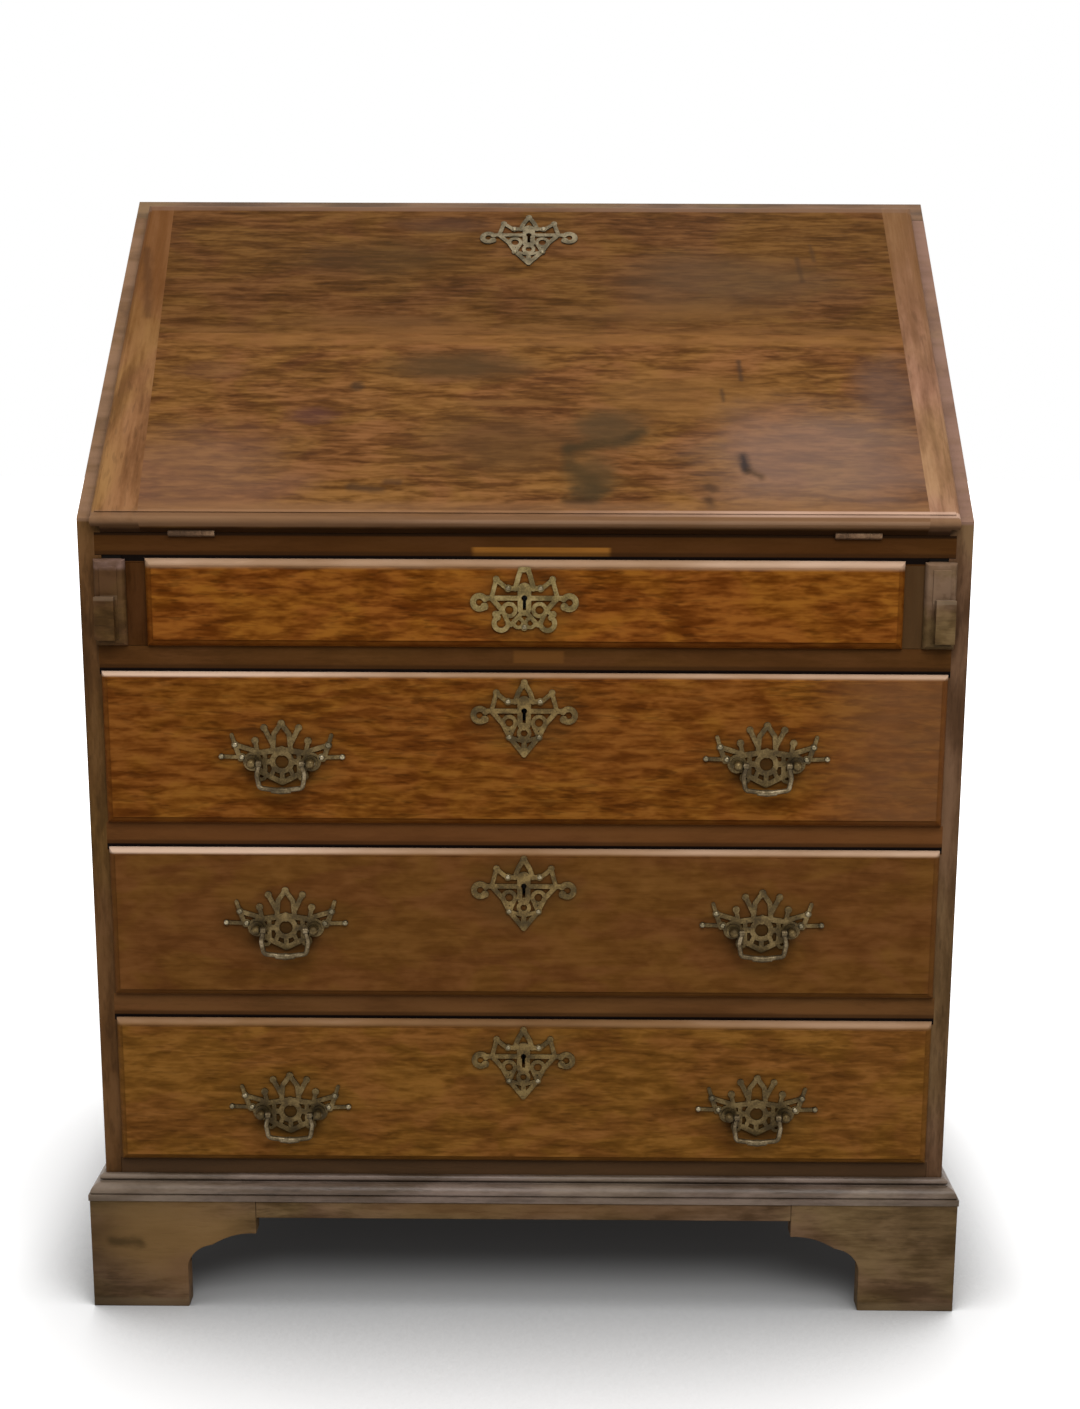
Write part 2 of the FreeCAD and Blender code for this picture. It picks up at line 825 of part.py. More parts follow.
def draw(table, half, side):
    """The faces of one table, on the right (1) or mirrored to the left (-1)."""
    width = sheet.get("scroll_width")

    def at(point):
        if point == SEAT:
            return FreeCAD.Vector(side * sheet.get("post_spread"), 0, 0)
        return FreeCAD.Vector(side * point[0] * half, point[1] * half, 0)

    faces = []
    for start, end, broad in table.get("bars", ()):
        faces.append(capsule(at(start), at(end), width * broad))
    for centre, reach in table.get("discs", ()):
        faces.append(disc(at(centre), width * reach))
    for centre, reach, broad in table.get("rings", ()):
        faces.append(ring(at(centre), half * reach, width * broad))
    for centre, reach, broad, start, sweep in table.get("scrolls", ()):
        first = start if side > 0 else half_share - start
        faces += scroll(at(centre), half * reach, width * broad, first, side * sweep)
    return faces


def pierced_plate(half, middle, *wings):
    """One plate from the table of its middle and the tables of its mirrored wings."""
    faces = draw(middle, half, 1)
    for table in wings:
        for side in SIDES:
            faces += draw(table, half, side)
    thick = FreeCAD.Vector(0, 0, sheet.get("plate_thick"))
    solids = [face.extrude(thick) for face in faces]
    return solids[0].multiFuse(solids[1:]).removeSplitter()


# Bails, with each bend a share of the drop or of the half width.
neck_drop_share = 0.42
corner_drop_share = 0.90
corner_reach_share = 0.90
neck_bend_share = 0.35
corner_bend_share = 0.16
bottom_bend_share = 3


def rounded_wire(points, radii):
    """Straight runs between points, with an arc of its own radius at each inner point."""
    edges = []
    start = points[0]
    for before, point, after, radius in zip(points, points[1:], points[2:], radii):
        to_before = (before - point).normalize()
        to_after = (after - point).normalize()
        half_angle = to_before.getAngle(to_after) / 2
        reach = radius / math.tan(half_angle)
        arc_start = point + to_before * reach
        arc_end = point + to_after * reach
        bisector = (to_before + to_after).normalize()
        arc_mid = point + bisector * (radius / math.sin(half_angle) - radius)
        edges.append(Part.LineSegment(start, arc_start).toShape())
        edges.append(Part.Arc(arc_start, arc_mid, arc_end).toShape())
        start = arc_end
    edges.append(Part.LineSegment(start, points[-1]).toShape())
    return Part.Wire(edges)


def bail_shape():
    """A swan-neck bail that hangs below its pivots, in the plane of X and Z."""
    radius = sheet.get("bail_radius")
    drop = sheet.get("bail_drop") - radius
    reach = sheet.get("bail_half_width")
    post = sheet.get("post_spread")
    head = sheet.get("post_head_radius")
    eye_radius = sheet.get("bail_eye_radius")
    eye_width = sheet.get("bail_eye_width")
    eye_out = post - head - sheet.get("bail_eye_gap")
    arm = eye_out - eye_width / 2
    pivot = sheet.get("bail_pivot_radius")
    right = [
        FreeCAD.Vector(arm, 0, 0),
        FreeCAD.Vector(reach, 0, -drop * neck_drop_share),
        FreeCAD.Vector(reach * corner_reach_share, 0, -drop * corner_drop_share),
        FreeCAD.Vector(0, 0, -drop),
    ]
    left = [FreeCAD.Vector(-point.x, 0, point.z) for point in reversed(right[:-1])]
    neck = drop * neck_bend_share
    turn = drop * corner_bend_share
    bends = [neck, turn, reach * bottom_bend_share, turn, neck]
    path = rounded_wire(right + left, bends)
    tangent = path.Edges[0].tangentAt(path.Edges[0].FirstParameter)
    section = Part.Wire(Part.makeCircle(radius, right[0], tangent))
    pieces = [path.makePipeShell([section], True, False)]
    swell = sheet.get("bail_swell")
    swell_length = sheet.get("bail_swell_length")
    bottom = FreeCAD.Vector(0, 0, -drop)
    for side in SIDES:
        outwards = FreeCAD.Vector(side, 0, 0)
        pieces.append(Part.makeCone(swell, radius, swell_length, bottom, outwards))
        eye_start = FreeCAD.Vector(side * (eye_out - eye_width), 0, 0)
        pieces.append(Part.makeCylinder(eye_radius, eye_width, eye_start, outwards))
        pieces.append(Part.makeCylinder(pivot, post + head - eye_out + eye_width, eye_start, outwards))
    return pieces[0].multiFuse(pieces[1:]).removeSplitter()


def brass(shape, x, y, z):
    """A brass made flat and stood up on a front, with its face to -Y."""
    item = doc.addObject("Part::Feature", "Brass")
    item.Shape = shape
    item.Placement.Rotation = FreeCAD.Rotation(AXES["x"], 90)
    return move(item, x, y, z)


key_half = sheet.get("escutcheon_half_width")
WILLOW = pierced_plate(key_half, willow_middle_shares, wing_shares, willow_tail_shares)
SCROLLED = pierced_plate(key_half, scrolled_middle_shares, wing_shares, scrolled_foot_shares)
HANDLE = pierced_plate(sheet.get("handle_half_width"), handle_middle_shares, handle_wing_shares)
BAIL = bail_shape()


# Locks and bolts of the drawers.

def drawer_lock(label, top, key_level):
    """Lock case let into the back of a front, and the bolt that rises from it."""
    half = S.lock_width / 2
    case = block(-half, half, lock_front, lock_back, top - S.lock_height, top)
    slot = bolt_slot(bolt_room, bolt_mid, top - S.bolt_height - S.bolt_gap * 2, top)
    hole = keyhole(lock_front, bolt_mid, key_level)
    half_bolt = S.bolt_width / 2
    half_thick = S.bolt_thick / 2
    bolt = block(-half_bolt, half_bolt, bolt_mid - half_thick, bolt_mid + half_thick,
                 top - S.bolt_height - S.bolt_gap, top - S.bolt_gap)
    node(label + "_lock", cut(case, slot, *hole))
    node(label + "_bolt", bolt)
    return block(-half, half, lock_front, lock_back, top - S.lock_height, top)


def side_board_outline(low, high, tails):
    """Drawer side seen from its face, with dovetail tails on its front end."""
    tip = front + S.front_cover
    root = front + S.front_body_thick
    rear = drawer_rear
    pitch = (high - low) / tails
    outline = [(rear, low), (root, low)]
    for index in range(tails):
        middle = low + pitch * (index + half_share)
        outline.append((root, middle - pitch * tail_root_share))
        outline.append((tip, middle - pitch * tail_tip_share))
        outline.append((tip, middle + pitch * tail_tip_share))
        outline.append((root, middle + pitch * tail_root_share))
    return outline + [(root, high), (rear, high)]


def drawer(number, half_opening, low, high, tails, plate):
    """A lipped drawer with its box, lock and escutcheon."""
    label = f"drawer_{number}"
    half = half_opening - S.drawer_side_gap
    z0 = low + S.drawer_run_gap
    z1 = high - S.drawer_top_gap
    face = front - S.lip_thick
    rear = drawer_rear
    key_level = high - S.key_drop
    wide = half_opening + S.lip_overlap
    body = block(-half, half, front - S.lip_gap, lock_back, z0, z1)
    panel_low = z0 + S.drawer_bottom_lift
    panel_high = panel_low + S.drawer_bottom_thick
    inside = half - S.drawer_side_thick
    panel = block(-inside - S.drawer_groove, inside + S.drawer_groove, lock_back - S.drawer_groove, rear,
                  panel_low, panel_high)
    outline = side_board_outline(z0, z1, tails)
    sides = [prism("YZ", outline, span(side, inside, half)[0], S.drawer_side_thick) for side in SIDES]
    recess = drawer_lock(label, z1, key_level)
    shell = fuse(lip(-wide, wide, z0, high + S.lip_overlap), body)
    cutters = [recess, panel, *sides, *keyhole(face, lock_front, key_level)]
    if number > 1:
        middle = (low + high) / 2 - getattr(S, f"handle_{number}_drop")
        cutters += handles(label, middle)
    node(label + "_front", cut(shell, *cutters))
    rear_board = block(-inside, inside, rear - S.drawer_back_thick, rear, panel_high, z1 - S.drawer_back_drop)
    node(label + "_box", *[cut(board, panel) for board in sides], rear_board, panel)
    escutcheon = brass(plate, 0, face, key_level)
    node(label + "_escutcheon", cut(escutcheon, *keyhole(face - S.plate_thick, face, key_level)))


def handles(label, level):
    """Two handles on a drawer; gives the cutters for the posts' holes in the front."""
    face = front - S.lip_thick
    axis = face - S.bail_stand
    collar = face - S.plate_thick - S.post_collar_thick
    cutters = []
    mounts = []
    for side, name in zip(SIDES, ("left", "right")):
        centre = (inner - S.handle_inset) * side
        bail = doc.addObject("Part::Feature", "Bail")
        bail.Shape = BAIL
        move(bail, centre, axis, level)
        node(f"{label}_bail_{name}", bail)
        holes = []
        for end in SIDES:
            x = centre + S.post_spread * end
            shank = rod("y", S.post_radius, lock_back + S.nut_thick - axis, x, axis, level)
            head = ball(S.post_head_radius, x, axis, level)
            seat = rod("y", S.post_collar_radius, S.post_collar_thick, x, collar, level)
            post = fuse(shank, head, seat)
            bore = rod("x", S.bail_pivot_radius + S.bail_pivot_gap, S.post_head_radius * 4,
                       x - S.post_head_radius * 2, axis, level)
            mounts.append(cut(post, bore))
            cutters.append(rod("y", S.post_radius, lock_back - face, x, face, level))
            holes.append(rod("y", S.post_radius, S.plate_thick, x, face - S.plate_thick, level))
            nut = rod("y", S.nut_radius, S.nut_thick, x, lock_back, level)
            mounts.append(cut(nut, rod("y", S.post_radius, S.nut_thick, x, lock_back, level)))
        mounts.append(cut(brass(HANDLE, centre, face, level), *holes))
    node(label + "_handle_mounts", *mounts)
    return cutters


drawer(1, divider_in, floor_1, ceil_1, 2, SCROLLED)
drawer(2, inner, floor_2, ceil_2, 3, WILLOW)
drawer(3, inner, floor_3, ceil_3, 3, WILLOW)
drawer(4, inner, floor_4, ceil_4, 3, WILLOW)


# Lopers: pull-out supports with a lipped face and a pull block.

for side, label in zip(SIDES, ("left_loper", "right_loper")):
    x0, x1 = span(side, divider_out + S.loper_side_gap, inner - S.loper_side_gap)
    low = floor_1 + S.drawer_run_gap
    arm = block(x0, x1, front - S.lip_gap, back_face - S.loper_rear_gap, low, loper_top)
    f0, f1 = span(side, divider_out - S.loper_face_drop, inner + S.loper_face_overlap)
    face = lip(f0, f1, low, loper_top - S.loper_face_drop)
    p0, p1 = span(side, inner + S.loper_face_overlap - S.pull_margin - S.pull_width,
                  inner + S.loper_face_overlap - S.pull_margin)
    grip = block(p0, p1, front - S.lip_thick - S.pull_thick, front - S.lip_thick,
                 low + S.pull_rise, low + S.pull_rise + S.pull_height)
    node(label, fuse(arm, face), grip)


# Fall: two boards between end cleats, with a moulded lip, drawn flat and then set on the slope.

fall_face = S.fall_thick
fall_shoulder = S.fall_thick - S.fall_step
lip_under = S.fall_rebate + S.lip_gap
body_half = inner - S.fall_side_gap
edge = S.fall_edge_round
flank = S.fall_side_round
fall_upright = [
    (S.fall_gap, as_size(0)),
    (fall_body_end, as_size(0)),
    (fall_body_end, lip_under),
    (fall_lip_end, lip_under),
    (fall_lip_end, fall_shoulder - edge),
    (fall_lip_end - edge, fall_shoulder, edge),
    (fall_lip_end - edge, fall_face),
    (S.fall_gap + edge, fall_face),
    (S.fall_gap + edge, fall_shoulder),
    (S.fall_gap, fall_shoulder - edge, edge),
]
fall_level = [
    (-body_half, as_size(0)),
    (body_half, as_size(0)),
    (body_half, lip_under),
    (fall_half_width, lip_under),
    (fall_half_width, fall_shoulder - flank),
    (fall_half_width - flank, fall_shoulder, flank),
    (fall_half_width - flank, fall_face),
    (-fall_half_width + flank, fall_face),
    (-fall_half_width + flank, fall_shoulder),
    (-fall_half_width, fall_shoulder - flank, flank),
    (-fall_half_width, lip_under),
    (-body_half, lip_under),
]
lengthways = prism("YZ", fall_upright, -fall_half_width, fall_half_width * 2)
crossways = prism("XZ", fall_level, 0, fall_lip_end)
slab = common(lengthways, crossways)

left_top = -fall_half_width + S.left_cleat_top
left_bottom = -fall_half_width + S.left_cleat_bottom
right_top = fall_half_width - S.right_cleat_top
right_bottom = fall_half_width - S.right_cleat_bottom
joint_share = S.fall_joint / fall_lip_end
left_joint = left_bottom + (left_top - left_bottom) * joint_share
right_joint = right_bottom + (right_top - right_bottom) * joint_share


def fall_board(corners):
    return common(slab, prism("XY", corners, 0, S.fall_thick))


left_cleat = fall_board([(-fall_half_width, as_size(0)), (left_bottom, as_size(0)),
                         (left_top, fall_lip_end), (-fall_half_width, fall_lip_end)])
right_cleat = fall_board([(right_bottom, as_size(0)), (fall_half_width, as_size(0)),
                          (fall_half_width, fall_lip_end), (right_top, fall_lip_end)])
lower_board = fall_board([(left_bottom, as_size(0)), (right_bottom, as_size(0)),
                          (right_joint, S.fall_joint), (left_joint, S.fall_joint)])
upper_board = fall_board([(left_joint, S.fall_joint), (right_joint, S.fall_joint),
                          (right_top, fall_lip_end), (left_top, fall_lip_end)])

knuckle_mid = (S.hinge_length - S.knuckle_length) / 2
for start in hinge_places():
    recess = block(start, start + S.hinge_length, 0, S.leaf_length, 0, S.leaf_thick)
    lower_board = cut(lower_board, recess, rod("x", notch_radius, S.hinge_length, start, 0, 0))

fall_key = fall_body_end - S.fall_key_drop
half_lock = S.lock_width / 2
lock_low = fall_body_end - S.lock_height
half_slot = S.keyhole_slot_width / 2


def fall_keyhole(out0, out1):
    """Round and slot of the fall's keyhole, between two heights above its inner face."""
    round_part = rod("z", S.keyhole_radius, out1 - out0, 0, fall_key, out0)
    slot = block(-half_slot, half_slot, fall_key - S.keyhole_slot_length, fall_key, out0, out1)
    return round_part, slot


upper_board = cut(upper_board, block(-half_lock, half_lock, lock_low, fall_body_end, 0, S.lock_thick),
                  *fall_keyhole(S.lock_thick, fall_face))
lock_case = block(-half_lock, half_lock, lock_low, fall_body_end, 0, S.lock_thick)
slot_low = fall_body_end - S.bolt_height - S.bolt_gap * 2
lock_slot = block(-bolt_room, bolt_room, slot_low, fall_body_end,
                  fall_bolt_mid - fall_bolt_room, fall_bolt_mid + fall_bolt_room)
lock_case = cut(lock_case, lock_slot, *fall_keyhole(fall_bolt_mid, S.lock_thick))
half_bolt = S.bolt_width / 2
half_thick = S.bolt_thick / 2
fall_bolt = block(-half_bolt, half_bolt, fall_body_end - S.bolt_height - S.bolt_gap,
                  fall_body_end - S.bolt_gap, fall_bolt_mid - half_thick, fall_bolt_mid + half_thick)
fall_plate = doc.addObject("Part::Feature", "Brass")
fall_plate.Shape = WILLOW
move(fall_plate, 0, fall_key, fall_face)
fall_plate = cut(fall_plate, *fall_keyhole(fall_face, fall_face + S.plate_thick))

fall_leaves = []
for start in hinge_places():
    leaf = block(start, start + S.hinge_length, 0, S.leaf_length, 0, S.leaf_thick)
    for clear in (start, start + S.hinge_length - knuckle_mid - S.knuckle_gap):
        leaf = cut(leaf, rod("x", notch_radius, knuckle_mid + S.knuckle_gap, clear, 0, 0))
    knuckle = rod("x", S.knuckle_radius, S.knuckle_length - S.knuckle_gap * 2,
                  start + knuckle_mid + S.knuckle_gap, 0, 0)
    bore = rod("x", S.hinge_pin_radius + S.hinge_pin_gap, S.hinge_length, start, 0, 0)
    fall_leaves.append(cut(fuse(leaf, knuckle), bore))


def fall_node(label, *pieces):
    """A sub-part of the fall, drawn flat and then set on the slope."""
    group = doc.addObject("Part::Compound", "Flat")
    group.Links = list(pieces)
    node(label, on_fall(group, 0, 0, 0))


fall_node("fall_left_cleat", left_cleat)
fall_node("fall_right_cleat", right_cleat)
fall_node("fall_lower_board", lower_board)
fall_node("fall_upper_board", upper_board)
fall_node("fall_lock", lock_case)
fall_node("fall_bolt", fall_bolt)
fall_node("fall_escutcheon", fall_plate)
fall_node("hinge_fall_leaves", *fall_leaves)

bed_leaves = []
pins = []
for start in hinge_places():
    leaf = block(start, start + S.hinge_length, hinge_y, hinge_y + S.leaf_length,
                 bed_top - S.leaf_thick, bed_top)
    leaf = cut(leaf, rod("x", notch_radius, S.knuckle_length, start + knuckle_mid, hinge_y, bed_top))
    knuckles = [rod("x", S.knuckle_radius, knuckle_mid, place, hinge_y, bed_top)
                for place in (start, start + S.hinge_length - knuckle_mid)]
    pin = rod("x", S.hinge_pin_radius, S.hinge_length, start, hinge_y, bed_top)
    bed_leaves.append(cut(fuse(leaf, *knuckles), pin))
    pins.append(rod("x", S.hinge_pin_radius, S.hinge_length, start, hinge_y, bed_top))
node("hinge_bed_leaves", *bed_leaves)
node("hinge_pins", *pins)


# Writing compartment: a row of small drawers under a shelf, and pigeonholes above it.

nest_front = front + (top_under - bed_top) / slope_tan + S.nest_gap
shelf_low = bed_top + S.nest_drawer_height
shelf_high = shelf_low + S.nest_board
nest_boards = [block(-inner, inner, nest_front, back_face, shelf_low, shelf_high)]
nest_pitch = (inner * 2 + S.nest_board) / NEST_DRAWERS
for index in range(1, NEST_DRAWERS):
    x1 = nest_pitch * index - inner
    nest_boards.append(block(x1 - S.nest_board, x1, nest_front, back_face, bed_top, shelf_low))
hole_pitch = (inner * 2 + S.pigeonhole_board) / PIGEONHOLES
hole_width = hole_pitch - S.pigeonhole_board
for index in range(1, PIGEONHOLES):
    x1 = hole_pitch * index - inner
    nest_boards.append(block(x1 - S.pigeonhole_board, x1, nest_front, back_face, shelf_high, top_under))
arch_rise = S.valance_height * valance_rise_share
arch_radius = (hole_width * hole_width / 4 + arch_rise * arch_rise) / (arch_rise * 2)
for index in range(PIGEONHOLES):
    x0 = hole_pitch * index - inner
    x1 = x0 + hole_width
    valance_low = top_under - S.valance_height
    arch = [(x0, top_under), (x0, valance_low), (x1, valance_low, -arch_radius), (x1, top_under)]
    nest_boards.append(prism("XZ", arch, nest_front, S.valance_thick))
node("pigeonhole_nest", *nest_boards)

for index in range(NEST_DRAWERS):
    x0 = nest_pitch * index - inner + S.drawer_side_gap / 2
    x1 = nest_pitch * (index + 1) - inner - S.nest_board - S.drawer_side_gap / 2
    z0 = bed_top + S.drawer_run_gap
    z1 = shelf_low - S.drawer_side_gap
    board = S.nest_box_board
    box_front = nest_front + S.nest_front_thick
    box_back = back_face - S.nest_drawer_rear_gap
    box_top = z1 - board / 2
    middle = (x0 + x1) / 2
    level = (z0 + z1) / 2
    neck = rod("y", S.knob_neck_radius, S.knob_neck_length, middle, nest_front - S.knob_neck_length, level)
    knob_y = nest_front - S.knob_neck_length - S.knob_radius * knob_seat_share
    knob = fuse(neck, ball(S.knob_radius, middle, knob_y, level))
    node(f"nest_drawer_{index + 1}",
         block(x0, x1, nest_front, box_front, z0, z1),
         block(x0, x0 + board, box_front, box_back, z0, box_top),
         block(x1 - board, x1, box_front, box_back, z0, box_top),
         block(x0 + board, x1 - board, box_back - board, box_back, z0, box_top),
         block(x0 + board, x1 - board, box_front, box_back - board, z0, z0 + board),
         knob)


# Check every object, then write one file for each sub-part.
doc.recompute()
for item in doc.Objects:
    if "Invalid" in item.State or "Error" in item.State:
        raise RuntimeError(f"{item.Name} ({item.Label}) failed: {item.State}")
for item in NODES:
    if item.Shape.isNull() or not item.Shape.isValid() or not item.Shape.Solids:
        raise RuntimeError(f"{item.Label} has no valid solid")
os.makedirs("parts", exist_ok=True)
for item in NODES:
    item.Shape.exportStep(f"parts/{item.Label}.step")
print(len(NODES), "sub-parts,", sum(len(item.Shape.Solids) for item in NODES), "solids")
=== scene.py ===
import json
import math

import bmesh
import bpy
from mathutils import Euler, Matrix, Vector


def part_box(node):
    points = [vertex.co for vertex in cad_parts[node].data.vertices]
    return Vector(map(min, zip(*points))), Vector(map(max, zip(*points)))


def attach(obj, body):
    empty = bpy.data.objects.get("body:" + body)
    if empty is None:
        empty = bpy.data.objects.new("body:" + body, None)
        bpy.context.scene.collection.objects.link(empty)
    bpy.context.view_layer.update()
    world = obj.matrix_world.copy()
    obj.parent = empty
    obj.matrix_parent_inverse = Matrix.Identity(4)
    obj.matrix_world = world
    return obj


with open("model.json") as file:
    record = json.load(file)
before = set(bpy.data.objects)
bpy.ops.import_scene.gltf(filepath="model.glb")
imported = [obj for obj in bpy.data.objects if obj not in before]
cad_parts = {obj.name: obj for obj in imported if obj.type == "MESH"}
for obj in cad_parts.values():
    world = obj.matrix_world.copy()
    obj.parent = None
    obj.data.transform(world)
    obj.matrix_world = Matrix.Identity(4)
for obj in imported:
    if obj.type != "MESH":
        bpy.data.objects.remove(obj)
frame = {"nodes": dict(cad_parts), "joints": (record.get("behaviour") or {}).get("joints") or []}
NODES = frame["nodes"]
JOINTS = {joint["name"]: joint for joint in frame["joints"]}


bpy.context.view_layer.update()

# Lengths are in metres, noise sizes in cycles per metre, colours in linear RGB.
X, Y, Z = range(3)
FAR = 9.0
CASE_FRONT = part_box("left_side")[0].y
DRAWERS = (1, 2, 3, 4)
HANDLED_DRAWERS = (2, 3, 4)
DRAWER_BOXES = [f"drawer_{number}_box" for number in DRAWERS]
NEST_DRAWERS = [f"nest_drawer_{number}" for number in (1, 2, 3, 4)]

# The fall's own frame: x across, s up the slope from the hinge line, o out of its inner face.
SLOPE = math.radians(46)
HINGE = Vector(JOINTS["fall_hinge"]["pos_m"])
UP_SLOPE = Vector((0, math.cos(SLOPE), math.sin(SLOPE)))
OUT_SLOPE = Vector((0, -math.sin(SLOPE), math.cos(SLOPE)))
HINGE_UP = HINGE.dot(UP_SLOPE)
HINGE_OUT = HINGE.dot(OUT_SLOPE)
FALL_THICK = 0.0205

# Turns that bring the grain of a piece to local x. FRONT gives local (x, z, -y), ALONG_Z local
# (z, y, -x), FALL_ACROSS local (x, s, o) and FALL_ALONG local (s, -x, o).
ALONG_X = (0, 0, 0)
ALONG_Y = (0, 0, math.radians(-90))
ALONG_Z = (0, math.radians(90), 0)
FRONT = (math.radians(-90), 0, 0)
FALL_ACROSS = (-SLOPE, 0, 0)
FALL_ALONG = (-SLOPE, 0, math.radians(-90))
ACROSS_SHIFT = (0, -HINGE_UP, -HINGE_OUT)
ALONG_SHIFT = (-HINGE_UP, 0, -HINGE_OUT)


def on_fall(x, s, o):
    return HINGE + Vector((x, 0, 0)) + UP_SLOPE * s + OUT_SLOPE * o


class Graph:
    """A node tree, with short calls for the nodes that the looks need."""

    def __init__(self, tree):
        self.tree = tree
        self.tree.nodes.clear()

    def add(self, kind, **settings):
        node = self.tree.nodes.new(kind)
        for key, value in settings.items():
            setattr(node, key, value)
        return node

    def join(self, value, socket):
        if isinstance(value, bpy.types.NodeSocket):
            self.tree.links.new(value, socket)
        else:
            socket.default_value = value

    def place(self, turn=(0, 0, 0), shift=(0, 0, 0)):
        """Coordinates of the part's frame, turned and then shifted."""
        coordinates = self.add("ShaderNodeTexCoord")
        mapping = self.add("ShaderNodeMapping")
        mapping.inputs["Rotation"].default_value = turn
        mapping.inputs["Location"].default_value = shift
        self.join(coordinates.outputs["Object"], mapping.inputs["Vector"])
        return mapping.outputs[0]

    def vector(self, operation, first, second=(0, 0, 0)):
        node = self.add("ShaderNodeVectorMath", operation=operation)
        self.join(first, node.inputs[0])
        self.join(second, node.inputs[1])
        return node.outputs["Value" if operation in ("LENGTH", "DOT_PRODUCT") else "Vector"]

    def axes(self, vector):
        node = self.add("ShaderNodeSeparateXYZ")
        self.join(vector, node.inputs[0])
        return node.outputs

    def noise(self, vector, sizes, detail=4.0, roughness=0.55, distortion=0.0):
        node = self.add("ShaderNodeTexNoise")
        self.join(self.vector("MULTIPLY", vector, sizes), node.inputs["Vector"])
        node.inputs["Scale"].default_value = 1.0
        node.inputs["Detail"].default_value = detail
        node.inputs["Roughness"].default_value = roughness
        node.inputs["Distortion"].default_value = distortion
        return node.outputs[0]

    def calc(self, operation, first, second=0.0):
        node = self.add("ShaderNodeMath", operation=operation)
        self.join(first, node.inputs[0])
        self.join(second, node.inputs[1])
        return node.outputs[0]

    def total(self, *shares):
        """Sum of values, each times its weight."""
        result = 0.0
        for value, weight in shares:
            result = self.calc("ADD", result, self.calc("MULTIPLY", value, weight))
        return result

    def off_middle(self, noise):
        """A noise about 0 in place of about one half."""
        return self.calc("SUBTRACT", noise, 0.5)

    def remap(self, value, low, high, to_low=0.0, to_high=1.0):
        node = self.add("ShaderNodeMapRange", interpolation_type="SMOOTHSTEP")
        self.join(value, node.inputs["Value"])
        self.join(low, node.inputs["From Min"])
        self.join(high, node.inputs["From Max"])
        self.join(to_low, node.inputs["To Min"])
        self.join(to_high, node.inputs["To Max"])
        return node.outputs[0]

    def ramp(self, value, stops):
        node = self.add("ShaderNodeValToRGB")
        elements = node.color_ramp.elements
        while len(elements) < len(stops):
            elements.new(1.0)
        for element, (place, colour) in zip(elements, stops):
            element.position = place
            element.color = (*colour, 1.0)
        self.join(value, node.inputs[0])
        return node.outputs[0]

    def blend(self, factor, first, second, mode="MIX"):
        node = self.add("ShaderNodeMix", data_type="RGBA", blend_type=mode)
        self.join(factor, node.inputs[0])
        for colour, socket in ((first, node.inputs[6]), (second, node.inputs[7])):
            self.join((*colour, 1.0) if isinstance(colour, tuple) else colour, socket)
        return node.outputs[2]

    def tint(self, colour, factors):
        return self.blend(1.0, colour, factors, "MULTIPLY")

    def shade(self, factor, colour, share):
        """Darken a colour towards a share of itself."""
        return self.blend(factor, colour, self.tint(colour, (share, share, share)))

    def in_sight(self):
        """1 for rays that show a surface to the eye, straight or mirrored, and 0 for the others."""
        path = self.add("ShaderNodeLightPath").outputs
        mirrored = self.calc("MAXIMUM", path["Is Glossy Ray"], path["Is Transmission Ray"])
        return self.calc("MAXIMUM", path["Is Camera Ray"], mirrored)


class Surface(Graph):
    """A material with one shader."""

    def __init__(self, name):
        self.material = bpy.data.materials.new(name)
        self.material.use_nodes = True
        super().__init__(self.material.node_tree)
        self.shader = self.add("ShaderNodeBsdfPrincipled")
        self.join(self.shader.outputs[0], self.add("ShaderNodeOutputMaterial").inputs[0])

    def bump(self, height, strength, distance):
        node = self.add("ShaderNodeBump")
        node.inputs["Strength"].default_value = strength
        node.inputs["Distance"].default_value = distance
        self.join(height, node.inputs["Height"])
        self.join(node.outputs[0], self.shader.inputs["Normal"])

    def crevices(self, reach, samples=4):
        """1 in corners and under ledges, 0 on open faces; it sets where shade is painted into a
        colour.
        """
        open_face, deep_corner = 0.95, 0.35
        node = self.add("ShaderNodeAmbientOcclusion", samples=samples)
        node.inputs["Distance"].default_value = reach
        return self.remap(node.outputs["AO"], open_face, deep_corner)

    def finish(self, colour, roughness, specular, metallic=0.0):
        self.join(colour, self.shader.inputs["Base Color"])
        self.join(roughness, self.shader.inputs["Roughness"])
        self.shader.inputs["Specular IOR Level"].default_value = specular
        self.shader.inputs["Metallic"].default_value = metallic
        return self.material


# Marks: each takes the graph, the local coordinates and a colour, and gives a colour.

def spot(across, up, half_width, half_height, colour, amount, ragged=0.2):
    """A soft-edged ellipse in local x and y with a ragged outline."""
    outer, inner = 1.2, 0.3
    size = 1.6 / max(half_width, half_height)

    def mark(graph, vector, base):
        x, y = graph.axes(vector)[:2]
        dx = graph.calc("DIVIDE", graph.calc("SUBTRACT", x, across), half_width)
        dy = graph.calc("DIVIDE", graph.calc("SUBTRACT", y, up), half_height)
        reach = graph.calc("SQRT", graph.total((graph.calc("MULTIPLY", dx, dx), 1.0),
                                               (graph.calc("MULTIPLY", dy, dy), 1.0)))
        rough = graph.off_middle(graph.noise(vector, (size, size * 2.0, size)))
        reach = graph.total((reach, 1.0), (rough, ragged * 4))
        return graph.blend(graph.remap(reach, outer, inner, 0.0, amount), base, colour)
    return mark


